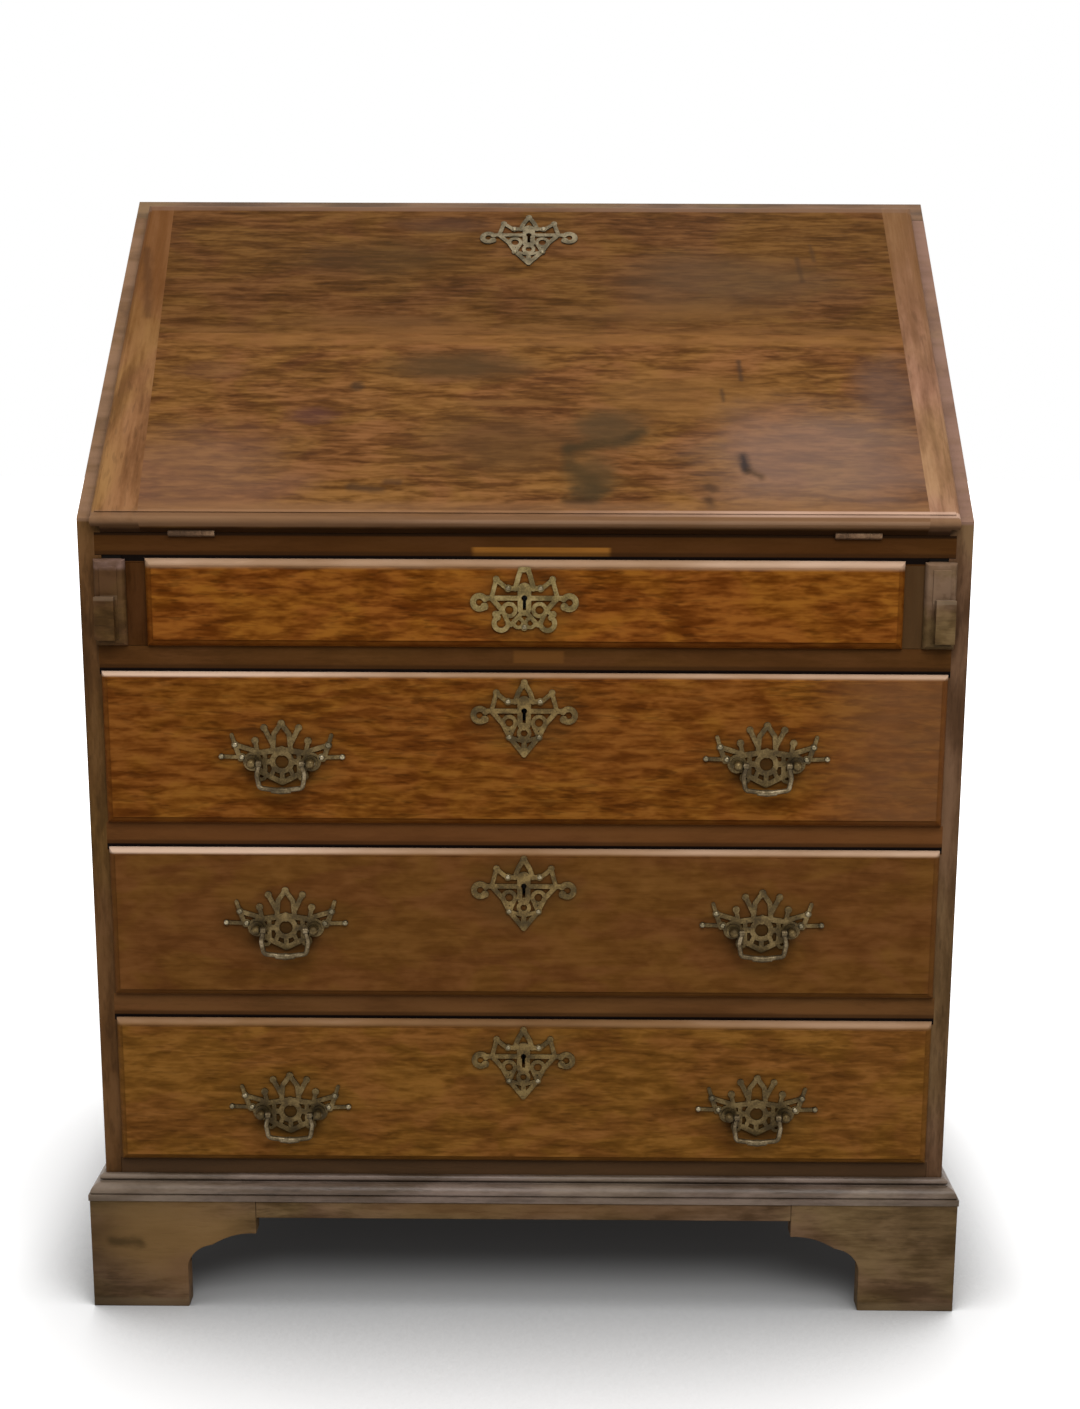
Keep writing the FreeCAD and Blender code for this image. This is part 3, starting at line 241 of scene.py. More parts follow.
def stroke(points, half_width, colour, amount):
    """A soft line through points in local x and y, with a ragged outline."""
    ragged = half_width * 2.4
    outer = half_width * 2.2
    sizes = (60, 120, 60)

    def mark(graph, vector, base):
        flat = graph.vector("MULTIPLY", vector, (1, 1, 0))
        reach = 1.0
        for (x0, y0), (x1, y1) in zip(points, points[1:]):
            way = Vector((x1 - x0, y1 - y0, 0))
            offset = graph.vector("SUBTRACT", flat, (x0, y0, 0))
            share = graph.vector("DOT_PRODUCT", offset, tuple(way / way.length_squared))
            share = graph.calc("MINIMUM", graph.calc("MAXIMUM", share, 0.0), 1.0)
            along = graph.vector("MULTIPLY", tuple(way), share)
            apart = graph.vector("LENGTH", graph.vector("SUBTRACT", offset, along))
            reach = graph.calc("MINIMUM", reach, apart)
        rough = graph.off_middle(graph.noise(vector, sizes, 3.0))
        reach = graph.total((reach, 1.0), (rough, ragged))
        return graph.blend(graph.remap(reach, outer, 0.0, 0.0, amount), base, colour)
    return mark


# Colours of a lip, from the least to the most worn; the pale end also paints a highlight.
WEAR_AND_HIGHLIGHT = ((0.0, (0.15, 0.072, 0.026)), (0.3, (0.30, 0.160, 0.072)), (0.6, (0.50, 0.312, 0.190)),
        (1.0, (0.82, 0.570, 0.410)))


def lip(top, depth, wear_and_highlight):
    """A pale worn edge with a painted highlight below a level, with its wear and highlight at the
    left, the middle and the right.
    """
    left, middle, right = wear_and_highlight
    end = 0.34
    sizes, patchy = (11, 40, 40), 0.55
    foot = top - depth
    foot_brightness, top_brightness = middle - 0.20, middle + 0.12

    def mark(graph, vector, base):
        x, y = graph.axes(vector)[:2]
        patches = graph.off_middle(graph.noise(vector, sizes, 3.0))
        value = graph.total((graph.remap(x, 0.0, -end), left - middle),
                            (graph.remap(x, 0.0, end), right - middle), (patches, patchy))
        rise = graph.remap(y, foot, top - depth * 0.25, foot_brightness, top_brightness)
        colour = graph.ramp(graph.calc("ADD", value, rise), WEAR_AND_HIGHLIGHT)
        return graph.blend(graph.remap(y, foot, top - depth * 0.5, 0.0, 0.95), base, colour)
    return mark


# Limits of a zone on a local axis, each with the half width of its soft border.

def between(axis, low, high, soft):
    return axis, low, high, soft


def above(axis, level, soft):
    return axis, level, FAR, soft


def below(axis, level, soft):
    return axis, -FAR, level, soft


def zone(limits, colour, amount, patchy=0.0, sizes=(9.0, 60.0, 60.0)):
    """A block inside limits on some local axes, broken up by streaks."""
    bare, full = 0.34, 0.62

    def mark(graph, vector, base):
        axes = graph.axes(vector)
        factor = amount
        for axis, low, high, soft in limits:
            inside = graph.remap(axes[axis], low - soft, low + soft)
            factor = graph.calc("MULTIPLY", factor, inside)
            inside = graph.remap(axes[axis], high + soft, high - soft)
            factor = graph.calc("MULTIPLY", factor, inside)
        streaks = graph.noise(vector, sizes, 5.0)
        streaks = graph.remap(streaks, bare, full, 1.0 - patchy, 1.0)
        return graph.blend(graph.calc("MULTIPLY", factor, streaks), base, colour)
    return mark


def in_fall_frame(mark):
    """A mark placed in the fall's frame on a board with another grain."""
    def placed(graph, vector, base):
        return mark(graph, graph.place(FALL_ACROSS, ACROSS_SHIFT), base)
    return placed


def outer_face(marks):
    """Marks kept to the outer face of the fall."""
    def placed(graph, vector, base):
        colour = base
        for mark in marks:
            colour = mark(graph, vector, colour)
        side = graph.remap(graph.axes(vector)[Z], FALL_THICK * 0.4, FALL_THICK * 0.6)
        return graph.blend(side, base, colour)
    return placed


# Looks.
FINE = (150.0, 400.0)
FLECK = (52.0, 290.0)
FINE_SHARE = 0.09
CLOUD_SHARE = 0.12
FIGURE_SHARE = 1.0 - FINE_SHARE - CLOUD_SHARE
GOLDEN = (1.10, 1.10, 0.72)
RUDDY = (1.00, 0.84, 0.84)
WAXED = (0.42, 0.62)
GRIME_AND_SHADE_REACH = 0.022
DARK_SHARE = 0.3
PORE_DEPTH = 0.0007


def lengthwise(along, across):
    return along, across, across


def oak(name, turn, tones, grain=(30.0, 110.0), contrast=0.25, streaks=(18.0, 190.0),
        streak_share=0.25, fleck_dark=0.3, gold=0.5, roughness=WAXED, specular=0.05, grime_and_shade=0.55,
        shift=(0, 0, 0), marks=()):
    """Waxed oak with its grain along local x. Tones are its dark, middle and light colours. Its
    corners and the undersides of its ledges darken with dirt and painted shade.
    """
    graph = Surface(name)
    vector = graph.place(turn, shift)
    length = grain[0]
    figure = graph.noise(vector, lengthwise(*grain), 2.4, 0.65, 0.3)
    streak = graph.noise(vector, lengthwise(*streaks), 4.0, 0.6, 0.2)
    fine = graph.noise(vector, lengthwise(*FINE), 2.0, 0.5)
    cloud = graph.noise(vector, lengthwise(length * 0.4, length * 0.7), 2.0, 0.5, 0.5)
    value = graph.total((figure, FIGURE_SHARE - streak_share), (streak, streak_share),
                        (fine, FINE_SHARE), (cloud, CLOUD_SHARE))
    value = graph.remap(value, 0.5 - contrast * 0.5, 0.5 + contrast * 0.5)
    dark, middle, light = tones
    colour = graph.ramp(value, ((0.0, dark), (0.5, middle), (1.0, light)))
    hue = graph.noise(vector, lengthwise(length * 0.5, length * 0.9), 2.0, 0.5, 0.8)
    hues = graph.blend(graph.remap(hue, 0.40, 0.62), graph.tint(colour, RUDDY),
                       graph.tint(colour, GOLDEN))
    colour = graph.blend(gold, colour, hues)
    dashes = graph.noise(vector, lengthwise(*FLECK), 1.0, 0.5, 0.2)
    dashes = graph.calc("MULTIPLY", graph.remap(dashes, 0.54, 0.68),
                        graph.remap(cloud, 0.66, 0.40, 0.3, 1.0))
    colour = graph.shade(graph.calc("MULTIPLY", dashes, fleck_dark), colour, DARK_SHARE)
    for mark in marks:
        colour = mark(graph, vector, colour)
    # Dirt and painted shade: darker in corners and under ledges, from occlusion.
    dirt_and_shade = graph.calc("MULTIPLY", graph.crevices(GRIME_AND_SHADE_REACH), grime_and_shade)
    colour = graph.shade(dirt_and_shade, colour, DARK_SHARE)
    graph.bump(graph.total((streak, 0.5), (fine, 0.5), (dashes, -0.6)), 0.2, PORE_DEPTH)
    gloss = graph.remap(graph.total((cloud, 0.6), (streak, 0.4)), 0.35, 0.65, *roughness)
    return graph.finish(colour, gloss, specular)


PATINA = 70.0
SPECK = 630.0
PATINA_RANGE = (0.36, 0.66)
HOLLOW_REACH = 0.006
HOLLOW_SHADE = 0.28
PIT_DEPTH = 0.0005


def metal(name, tones, roughness, grime_and_shade=0.8):
    """Old metal with patina and painted shade in its hollows and rubbed high places."""
    graph = Surface(name)
    vector = graph.place()
    cloud = graph.noise(vector, (PATINA, PATINA, PATINA), 5.0, 0.6)
    speck = graph.noise(vector, (SPECK, SPECK, SPECK), 3.0, 0.6)
    value = graph.total((cloud, 0.7), (speck, 0.3))
    dull, middle, bright = tones
    colour = graph.ramp(graph.remap(value, *PATINA_RANGE),
                        ((0.0, dull), (0.5, middle), (1.0, bright)))
    # Patina and painted shade darken its hollows, from occlusion.
    dirt_and_shade = graph.calc("MULTIPLY", graph.crevices(HOLLOW_REACH), grime_and_shade)
    colour = graph.shade(dirt_and_shade, colour, HOLLOW_SHADE)
    graph.bump(value, 0.25, PIT_DEPTH)
    smooth, rough = roughness
    gloss = graph.remap(value, *PATINA_RANGE, rough, smooth)
    return graph.finish(colour, gloss, 0.5, 0.7)


def dress(material, *names):
    for name in names:
        slots = NODES[name].data.materials
        slots.clear()
        slots.append(material)


# Fall. Its boards have painted highlights and painted shade along their edges, a joint across,
# stains and patches of painted sheen.
LIT_RIM = (0.255, 0.140, 0.075)
RIM_HIGHLIGHT = (0.36, 0.195, 0.098)
LIT_TOP_RIM = (0.205, 0.115, 0.070)
RIM_GLINT = (0.62, 0.40, 0.29)
SHADE = (0.026, 0.010, 0.003)
INK = (0.044, 0.028, 0.011)
FALL_TOP = 0.4055
RIM_GLINT_SHARE = 0.75
right_half = above(X, 0.12, 0.14)
right_part = above(X, -0.12, 0.08)
edge_foot = below(Y, 0.0050, 0.0012)
# Light and shade painted along the fall's edges.
fall_edge_light_and_shade = (
    # Painted sheen on the band just above the lower edge.
    zone((below(Y, 0.019, 0.006), above(Z, 0.015, 0.003)), (0.262, 0.128, 0.056), 0.65, 0.4),
    # Painted highlights on the rounding of the lower edge.
    zone((below(Y, 0.0088, 0.0015), above(Z, 0.009, 0.003)), LIT_RIM, 0.5, 0.3),
    zone((between(Y, 0.0080, 0.0110, 0.0006), above(Z, 0.0125, 0.002)), RIM_HIGHLIGHT, 0.4, 0.3),
    zone((below(Y, 0.0045, 0.0012), above(Z, 0.0085, 0.002)), RIM_HIGHLIGHT, 0.85, 0.35),
    # A brighter painted highlight on the right half.
    zone((right_half, between(Y, 0.0055, 0.0110, 0.0008), above(Z, 0.0125, 0.002)),
         RIM_GLINT, RIM_GLINT_SHARE, 0.2),
    # Painted shade in the valley between the highlights, then a second painted highlight.
    zone((right_part, edge_foot, above(Z, 0.0172, 0.0007)), (0.19, 0.090, 0.040), 0.5, 0.3),
    zone((right_part, edge_foot, between(Z, 0.0138, 0.0168, 0.0006)),
         (0.46, 0.270, 0.160), 0.75, 0.3),
    # Painted shade at the foot of the lower edge.
    zone((right_part, below(Y, 0.0040, 0.0012), below(Z, 0.0105, 0.0016)), SHADE, 0.5),
    # Painted highlight along the top edge.
    zone((above(Y, FALL_TOP, 0.0012),), LIT_TOP_RIM, 0.8, 0.4),
    # Painted shade on the lower edge next to the hinges.
    zone((below(Y, 0.0030, 0.0008), below(Z, 0.0075, 0.0025)), SHADE, 0.95),
)
joint_length = between(X, -0.33, 0.37, 0.03)
lower_stains_and_sheen = (
    zone((joint_length, above(Y, 0.2155, 0.004)), (0.235, 0.103, 0.029), 0.7, 0.7,
         (14.0, 110.0, 60.0)),
    spot(-0.068, 0.187, 0.085, 0.026, (0.085, 0.045, 0.016), 0.8),
    spot(-0.024, 0.090, 0.095, 0.042, (0.098, 0.045, 0.015), 0.7),
    spot(-0.030, 0.141, 0.070, 0.006, (0.240, 0.110, 0.031), 0.6),
    spot(0.150, 0.150, 0.100, 0.040, (0.205, 0.093, 0.026), 0.5),
    # Painted sheen at the lower right.
    spot(0.270, 0.070, 0.130, 0.080, (0.270, 0.172, 0.130), 0.5),
    spot(0.340, 0.160, 0.036, 0.055, (0.115, 0.066, 0.048), 0.65),
    # Painted sheen at the lower left.
    spot(-0.310, 0.050, 0.130, 0.075, (0.240, 0.122, 0.075), 0.45),
    spot(-0.200, 0.124, 0.030, 0.013, (0.105, 0.042, 0.034), 0.5),
    spot(-0.300, 0.182, 0.045, 0.016, (0.130, 0.054, 0.030), 0.35),
    spot(-0.160, 0.162, 0.008, 0.008, (0.050, 0.027, 0.013), 0.7),
    spot(0.076, 0.108, 0.046, 0.030, (0.085, 0.047, 0.018), 0.85),
    spot(0.060, 0.050, 0.030, 0.036, (0.075, 0.044, 0.016), 0.75),
    spot(0.056, 0.032, 0.018, 0.015, (0.050, 0.031, 0.012), 0.7),
    stroke(((0.038, 0.085), (0.060, 0.089), (0.092, 0.094), (0.108, 0.106)), 0.0046, INK, 0.7),
    stroke(((0.040, 0.085), (0.041, 0.066), (0.047, 0.056), (0.060, 0.046), (0.073, 0.036)),
           0.0056, INK, 0.5),
    stroke(((0.038, 0.021), (0.059, 0.020)), 0.0046, (0.022, 0.012, 0.004), 0.8),
    stroke(((0.1995, 0.075), (0.2005, 0.060)), 0.0040, (0.030, 0.024, 0.024), 0.9),
    stroke(((0.203, 0.058), (0.214, 0.052)), 0.0034, (0.050, 0.028, 0.014), 0.7),
    stroke(((0.166, 0.040), (0.170, 0.036)), 0.0038, (0.075, 0.038, 0.019), 0.75),
    stroke(((0.166, 0.024), (0.168, 0.017)), 0.0040, (0.050, 0.025, 0.012), 0.8),
    stroke(((0.202, 0.195), (0.203, 0.172)), 0.0020, (0.055, 0.030, 0.016), 0.7),
    stroke(((0.184, 0.158), (0.185, 0.145)), 0.0020, (0.055, 0.030, 0.016), 0.6),
    stroke(((-0.158, 0.037), (-0.130, 0.034)), 0.0036, (0.050, 0.025, 0.012), 0.7),
    stroke(((-0.126, 0.044), (-0.114, 0.043)), 0.0026, (0.060, 0.028, 0.014), 0.6),
)
upper_stains = (
    zone((joint_length, below(Y, 0.242, 0.006)), (0.210, 0.092, 0.026), 0.7, 0.9,
         (14.0, 90.0, 60.0)),
    spot(0.150, 0.262, 0.120, 0.018, (0.175, 0.080, 0.025), 0.6),
    spot(-0.150, 0.248, 0.110, 0.010, (0.160, 0.072, 0.022), 0.55),
    spot(-0.150, 0.335, 0.100, 0.030, (0.066, 0.033, 0.010), 0.55),
    spot(0.200, 0.306, 0.140, 0.044, (0.110, 0.060, 0.028), 0.6),
    spot(-0.090, 0.385, 0.060, 0.014, (0.080, 0.038, 0.020), 0.5),
    stroke(((0.268, 0.338), (0.271, 0.306)), 0.0020, (0.055, 0.030, 0.015), 0.5),
    stroke(((0.283, 0.356), (0.285, 0.334)), 0.0018, (0.055, 0.030, 0.015), 0.45),
)
lower_tones = ((0.080, 0.030, 0.007), (0.155, 0.065, 0.017), (0.240, 0.107, 0.034))
upper_tones = ((0.064, 0.025, 0.005), (0.115, 0.048, 0.012), (0.172, 0.078, 0.023))
LOW_GLOSS = 0.03
FALL_BOARD = {"shift": ACROSS_SHIFT, "specular": LOW_GLOSS, "grime_and_shade": 0.2, "contrast": 0.26}
dress(oak("oak_fall_lower", FALL_ACROSS, lower_tones, grain=(24.0, 115.0), streaks=(16.0, 220.0),
          marks=(outer_face(lower_stains_and_sheen), *fall_edge_light_and_shade), **FALL_BOARD), "fall_lower_board")
dress(oak("oak_fall_upper", FALL_ACROSS, upper_tones, grain=(22.0, 120.0), streaks=(13.0, 220.0),
          streak_share=0.3, marks=(outer_face(upper_stains), *fall_edge_light_and_shade), **FALL_BOARD),
      "fall_upper_board")

# Cleats, with local x up the slope and local y to the left.
# Light and shade painted along the cleats' ends: painted highlights on the lower end's rounding and
# along the top, painted shade on the lower end's face that looks down.
cleat_edge_light_and_shade = (
    zone((below(X, 0.0088, 0.0015), above(Z, 0.009, 0.003)), LIT_RIM, 0.75, 0.3),
    zone((below(X, 0.0045, 0.0012), above(Z, 0.0085, 0.002)), RIM_HIGHLIGHT, 0.8, 0.35),
    zone((below(X, 0.0035, 0.0010), below(Z, 0.0120, 0.003)), (0.105, 0.050, 0.022), 0.85),
    zone((below(X, 0.0030, 0.0008), below(Z, 0.0060, 0.0025)), SHADE, 0.9),
    zone((above(X, FALL_TOP, 0.0012),), LIT_TOP_RIM, 0.7, 0.4),
)
cleat_upper = above(X, 0.24, 0.10)
CLEAT_STREAKS = (8.0, 120.0, 60.0)
left_marks = (
    zone((cleat_upper,), (0.140, 0.050, 0.009), 0.85, 0.3, CLEAT_STREAKS),
    stroke(((0.255, 0.371), (0.347, 0.383)), 0.0036, (0.060, 0.024, 0.008), 0.5),
    *cleat_edge_light_and_shade,
)
right_marks = (
    zone((cleat_upper,), (0.165, 0.072, 0.022), 0.9, 0.3, CLEAT_STREAKS),
    *cleat_edge_light_and_shade,
    # Painted highlight on the right cleat's lower edge.
    zone((between(X, 0.0055, 0.0110, 0.0008), above(Z, 0.0125, 0.002)),
         RIM_GLINT, RIM_GLINT_SHARE, 0.2),
)
left_tones = ((0.150, 0.066, 0.022), (0.235, 0.112, 0.042), (0.310, 0.158, 0.066))
# The right cleat's tones are lighter and bluer, carrying a painted sheen.
right_sheened_tones = ((0.190, 0.096, 0.050), (0.285, 0.150, 0.086), (0.375, 0.210, 0.128))
CLEAT = {"grain": (12.0, 44.0), "streaks": (5.0, 170.0), "contrast": 0.24, "shift": ALONG_SHIFT}
dress(oak("oak_left_cleat", FALL_ALONG, left_tones, marks=left_marks, **CLEAT), "fall_left_cleat")
dress(oak("oak_right_cleat", FALL_ALONG, right_sheened_tones, marks=right_marks, **CLEAT),
      "fall_right_cleat")

# Drawer fronts, each with a worn upper edge that carries a painted highlight, stained wood round
# its brasses and a darker patch under each bail.
STAIN = (0.075, 0.043, 0.011)
BAIL_DARK_PATCH = (0.040, 0.023, 0.007)
EDGE = 0.0065
EDGE_SOFT = 0.0012
KEY_DROP = 0.0285
FADED_DRAWER = 2
GRAIN_STEP = 0.37
drawer_looks = {
    1: {"tones": ((0.124, 0.033, 0.003), (0.230, 0.072, 0.009), (0.340, 0.121, 0.017)),
        "grain": (30.0, 110.0), "contrast": 0.24, "fleck": 0.5,
        "wear_and_highlight": (0.50, 0.42, 0.70), "depth": 0.0098},
    2: {"tones": ((0.120, 0.035, 0.004), (0.215, 0.072, 0.010), (0.310, 0.118, 0.020)),
        "grain": (30.0, 110.0), "contrast": 0.25, "fleck": 0.45,
        "wear_and_highlight": (0.95, 0.40, 0.64), "depth": 0.0052},
    3: {"tones": ((0.114, 0.043, 0.009), (0.160, 0.064, 0.015), (0.212, 0.090, 0.024)),
        "grain": (28.0, 60.0), "contrast": 0.36, "fleck": 0.1,
        "wear_and_highlight": (1.10, 0.40, 0.62), "depth": 0.0062},
    4: {"tones": ((0.134, 0.053, 0.009), (0.216, 0.089, 0.017), (0.306, 0.132, 0.030)),
        "grain": (30.0, 110.0), "contrast": 0.29, "fleck": 0.35,
        "wear_and_highlight": (0.27, 0.02, 0.42), "depth": 0.0078},
}


def key_level(number):
    """Level of a drawer's key, which is a set way below the top of its lock."""
    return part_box(f"drawer_{number}_lock")[1].z - KEY_DROP


def handle_places(number):
    return [Vector(JOINTS[f"drawer_{number}_{side}_bail_swing"]["pos_m"])
            for side in ("left", "right")]


lip_tops = []
for number, look in drawer_looks.items():
    low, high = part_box(f"drawer_{number}_front")
    lip_tops.append(high.z)
    tones = look["tones"]
    marks = [spot(0, key_level(number) - 0.006, 0.060, 0.044, STAIN, 0.4)]
    if number in HANDLED_DRAWERS:
        for place in handle_places(number):
            marks.append(spot(place.x, place.z + 0.002, 0.066, 0.040, STAIN, 0.35))
            # A darker patch under each bail.
            marks.append(spot(place.x, place.z - 0.008, 0.030, 0.022, BAIL_DARK_PATCH, 0.7, 0.1))
    if number == FADED_DRAWER:
        marks.append(zone((above(X, 0.29, 0.05),), (0.205, 0.093, 0.038), 0.65, 0.2))
    marks += [
        zone((below(Y, low.z + EDGE, EDGE_SOFT),), tones[0], 0.6),
        zone((below(X, low.x + EDGE, EDGE_SOFT),), tones[0], 0.55),
        zone((above(X, high.x - EDGE, EDGE_SOFT),), tones[0], 0.55),
        # The lip's pale top stands for wear with a painted highlight.
        lip(high.z, look["depth"], look["wear_and_highlight"]),
    ]
    dress(oak(f"oak_drawer_{number}", FRONT, tones, grain=look["grain"], marks=marks,
              contrast=look["contrast"], fleck_dark=look["fleck"], specular=LOW_GLOSS,
              shift=(0, 0, GRAIN_STEP * number)), f"drawer_{number}_front")

# Case and base. Dirt and painted shade lie over each lip, where the rail meets it; painted shade
# also darkens the top rail under the fall.
dirt_and_shade = []
for top in lip_tops:
    # Dirt and painted shade on the rail just above the lip, then painted shade in the gap at the
    # lip's top.
    dirt_and_shade.append(zone((between(Y, top, top + 0.0065, 0.0015),), (0.030, 0.012, 0.004), 0.6))
    dirt_and_shade.append(zone((between(Y, top - 0.003, top + 0.0030, 0.0006),),
                     (0.0030, 0.0012, 0.0006), 1.0))
TOP_RAIL_FOOT = 0.725
BASE_RAIL_TOP = 0.150
BED_LEVEL = HINGE.z
SHARP = 0.001
rail_marks = (
    # Painted shade on the top rail, under the overhang of the fall.
    zone((above(Y, TOP_RAIL_FOOT, SHARP),), (0.072, 0.026, 0.005), 0.8),
    zone((below(Y, BASE_RAIL_TOP, SHARP),), (0.085, 0.048, 0.024), 0.8),
    zone((between(Y, 0.625, 0.653, SHARP),), (0.098, 0.040, 0.009), 0.7, 0.3),
    zone((between(Y, 0.455, 0.487, SHARP),), (0.195, 0.074, 0.021), 0.7, 0.4),
    zone((between(Y, 0.285, 0.318, SHARP),), (0.185, 0.082, 0.026), 0.7, 0.4),
    zone((between(X, -0.047, 0.077, 0.003), between(Y, 0.7335, 0.7420, 0.0007)),
         (0.38, 0.152, 0.025), 0.95, 0.3),
    zone((between(X, -0.010, 0.036, 0.002), between(Y, 0.6360, 0.6475, SHARP)),
         (0.190, 0.076, 0.017), 0.85, 0.3),
    # Painted shade at the top of the rail, under the fall's lower edge.
    zone((above(Y, BED_LEVEL - 0.0025, SHARP),), (0.014, 0.006, 0.002), 0.9),
    *dirt_and_shade,
)
case_tones = ((0.076, 0.029, 0.008), (0.130, 0.053, 0.016), (0.180, 0.077, 0.026))
divider_tones = ((0.036, 0.012, 0.002), (0.062, 0.023, 0.005), (0.090, 0.036, 0.010))
left_side_tones = ((0.080, 0.039, 0.013), (0.132, 0.065, 0.022), (0.185, 0.096, 0.036))
right_side_tones = ((0.095, 0.050, 0.023), (0.160, 0.090, 0.046), (0.220, 0.130, 0.070))
top_tones = ((0.090, 0.047, 0.019), (0.145, 0.080, 0.036), (0.205, 0.118, 0.058))
base_tones = ((0.088, 0.056, 0.033), (0.150, 0.104, 0.074), (0.220, 0.160, 0.122))
foot_tones = ((0.095, 0.056, 0.026), (0.168, 0.104, 0.054), (0.235, 0.150, 0.082))
inner_tones = ((0.170, 0.093, 0.038), (0.270, 0.155, 0.068), (0.380, 0.235, 0.112))
nest_tones = ((0.110, 0.050, 0.016), (0.190, 0.090, 0.030), (0.275, 0.138, 0.052))
slope_edge = (above(Y, 0.004, 0.004), above(Z, 0.0062, 0.0008))
left_slope = in_fall_frame(zone(slope_edge, (0.300, 0.172, 0.100), 0.85, 0.5))
right_slope = in_fall_frame(zone(slope_edge, (0.300, 0.172, 0.125), 0.85, 0.4))
right_divider = zone((below(Z, 0.0, 0.01),), (0.108, 0.058, 0.023), 0.75, 0.3)
foot_marks = (
    zone((below(Y, 0.0085, 0.002),), (0.240, 0.165, 0.090), 0.6, 0.6),
    spot(-0.345, 0.072, 0.095, 0.055, (0.285, 0.160, 0.058), 0.75),
    spot(-0.325, 0.040, 0.030, 0.022, (0.200, 0.105, 0.050), 0.6),
    stroke(((-0.398, 0.068), (-0.372, 0.067)), 0.0040, (0.060, 0.035, 0.011), 0.7),
    spot(0.000, 0.104, 0.190, 0.012, (0.200, 0.098, 0.038), 0.5),
)
PLAIN = {"grain": (9.0, 40.0), "streaks": (5.0, 110.0), "contrast": 0.22}
POLISHED = (0.3, 0.46)
BARE = (0.6, 0.8)
dress(oak("oak_rails", FRONT, case_tones, marks=rail_marks, specular=LOW_GLOSS, **PLAIN),
      "case_rails", "bottom_board")
dress(oak("oak_dividers", ALONG_Z, divider_tones, marks=(right_divider,), specular=LOW_GLOSS,
          **PLAIN), "loper_dividers")
dress(oak("oak_left_side", ALONG_Z, left_side_tones, marks=(left_slope,), **PLAIN), "left_side")
dress(oak("oak_right_side", ALONG_Z, right_side_tones, marks=(right_slope,), **PLAIN),
      "right_side")
dress(oak("oak_top", ALONG_X, top_tones, specular=0.2, **PLAIN), "top_board")
dress(oak("oak_moulding", ALONG_X, base_tones, roughness=POLISHED, specular=0.35, grime_and_shade=0.8,
          gold=0.2, **PLAIN), "base_moulding")
dress(oak("oak_feet", FRONT, foot_tones, grain=(14.0, 36.0), contrast=0.26, marks=foot_marks),
      "front_feet", "rear_feet", "front_apron")

# Lopers, with painted shade on the end of the arm over the face and a pull block on it. Painted
# highlights lie on the face's top lip and the block's top edge.
LOPER_LIP = 0.003
BLOCK_HEIGHT = 0.046
loper_low, loper_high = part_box("left_loper")
face_top = loper_high.z - LOPER_LIP
block_top = loper_low.z + BLOCK_HEIGHT
in_front = below(Y, CASE_FRONT, SHARP)
# Painted shade on the end of the arm, over the face.
arm_end_shade = zone((above(Z, face_top + 0.0004, 0.0003), below(Y, CASE_FRONT + 0.004, SHARP)),
               (0.002, 0.001, 0.0005), 1.0)
# Painted highlight along the top edge of the pull block.
lit_block_edge = (between(Z, block_top - 0.0035, block_top + 0.001, 0.0008),
              below(Y, CASE_FRONT - 0.008, 0.0005))
left_loper_marks = (
    zone((above(Z, block_top, 0.004), in_front), (0.086, 0.039, 0.015), 0.7, 0.4),
    # Painted highlight on the top lip of the face.
    zone((above(Z, face_top - 0.0085, 0.0025), in_front), (0.330, 0.205, 0.165), 0.7, 0.6,
         (60.0, 60.0, 60.0)),
    zone(lit_block_edge, (0.230, 0.150, 0.090), 0.7, 0.4),
    arm_end_shade,
)
right_loper_marks = (
    zone((above(Z, 0.690, 0.004), in_front), (0.250, 0.155, 0.095), 0.85, 0.7,
         (90.0, 90.0, 90.0)),
    zone(lit_block_edge, (0.280, 0.200, 0.125), 0.8, 0.4),
    arm_end_shade,
)
left_loper_tones = ((0.056, 0.028, 0.010), (0.096, 0.049, 0.019), (0.142, 0.076, 0.033))
right_loper_tones = ((0.085, 0.048, 0.022), (0.142, 0.086, 0.042), (0.210, 0.132, 0.070))
LOPER = {"grain": (36.0, 44.0), "streaks": (40.0, 110.0), "contrast": 0.24}
dress(oak("oak_left_loper", ALONG_X, left_loper_tones, marks=left_loper_marks, **LOPER),
      "left_loper")
dress(oak("oak_right_loper", ALONG_X, right_loper_tones, marks=right_loper_marks, **LOPER),
      "right_loper")

# Inside and back. The back's boards have dark joints.
BACK_BOARDS = 4
JOINT_HALF = 0.0009
back_low, back_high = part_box("back_boards")
board_width = (back_high.x - back_low.x) / BACK_BOARDS
board_joints = []
for index in range(1, BACK_BOARDS):
    joint = -back_low.x - board_width * index
    board_joints.append(zone((between(Z, joint - JOINT_HALF, joint + JOINT_HALF, 0.0005),),
                             (0.020, 0.010, 0.004), 0.9))
dress(oak("oak_bed", ALONG_X, nest_tones, specular=0.25, **PLAIN), "writing_bed")
dress(oak("oak_inside", ALONG_Y, inner_tones, roughness=BARE, **PLAIN),
      "drawer_runners", "foot_blocks", *DRAWER_BOXES)
dress(oak("oak_back", ALONG_Z, inner_tones, roughness=BARE, marks=board_joints, **PLAIN),
      "back_boards")
dress(oak("oak_nest", FRONT, nest_tones, specular=0.25), "pigeonhole_nest", *NEST_DRAWERS)

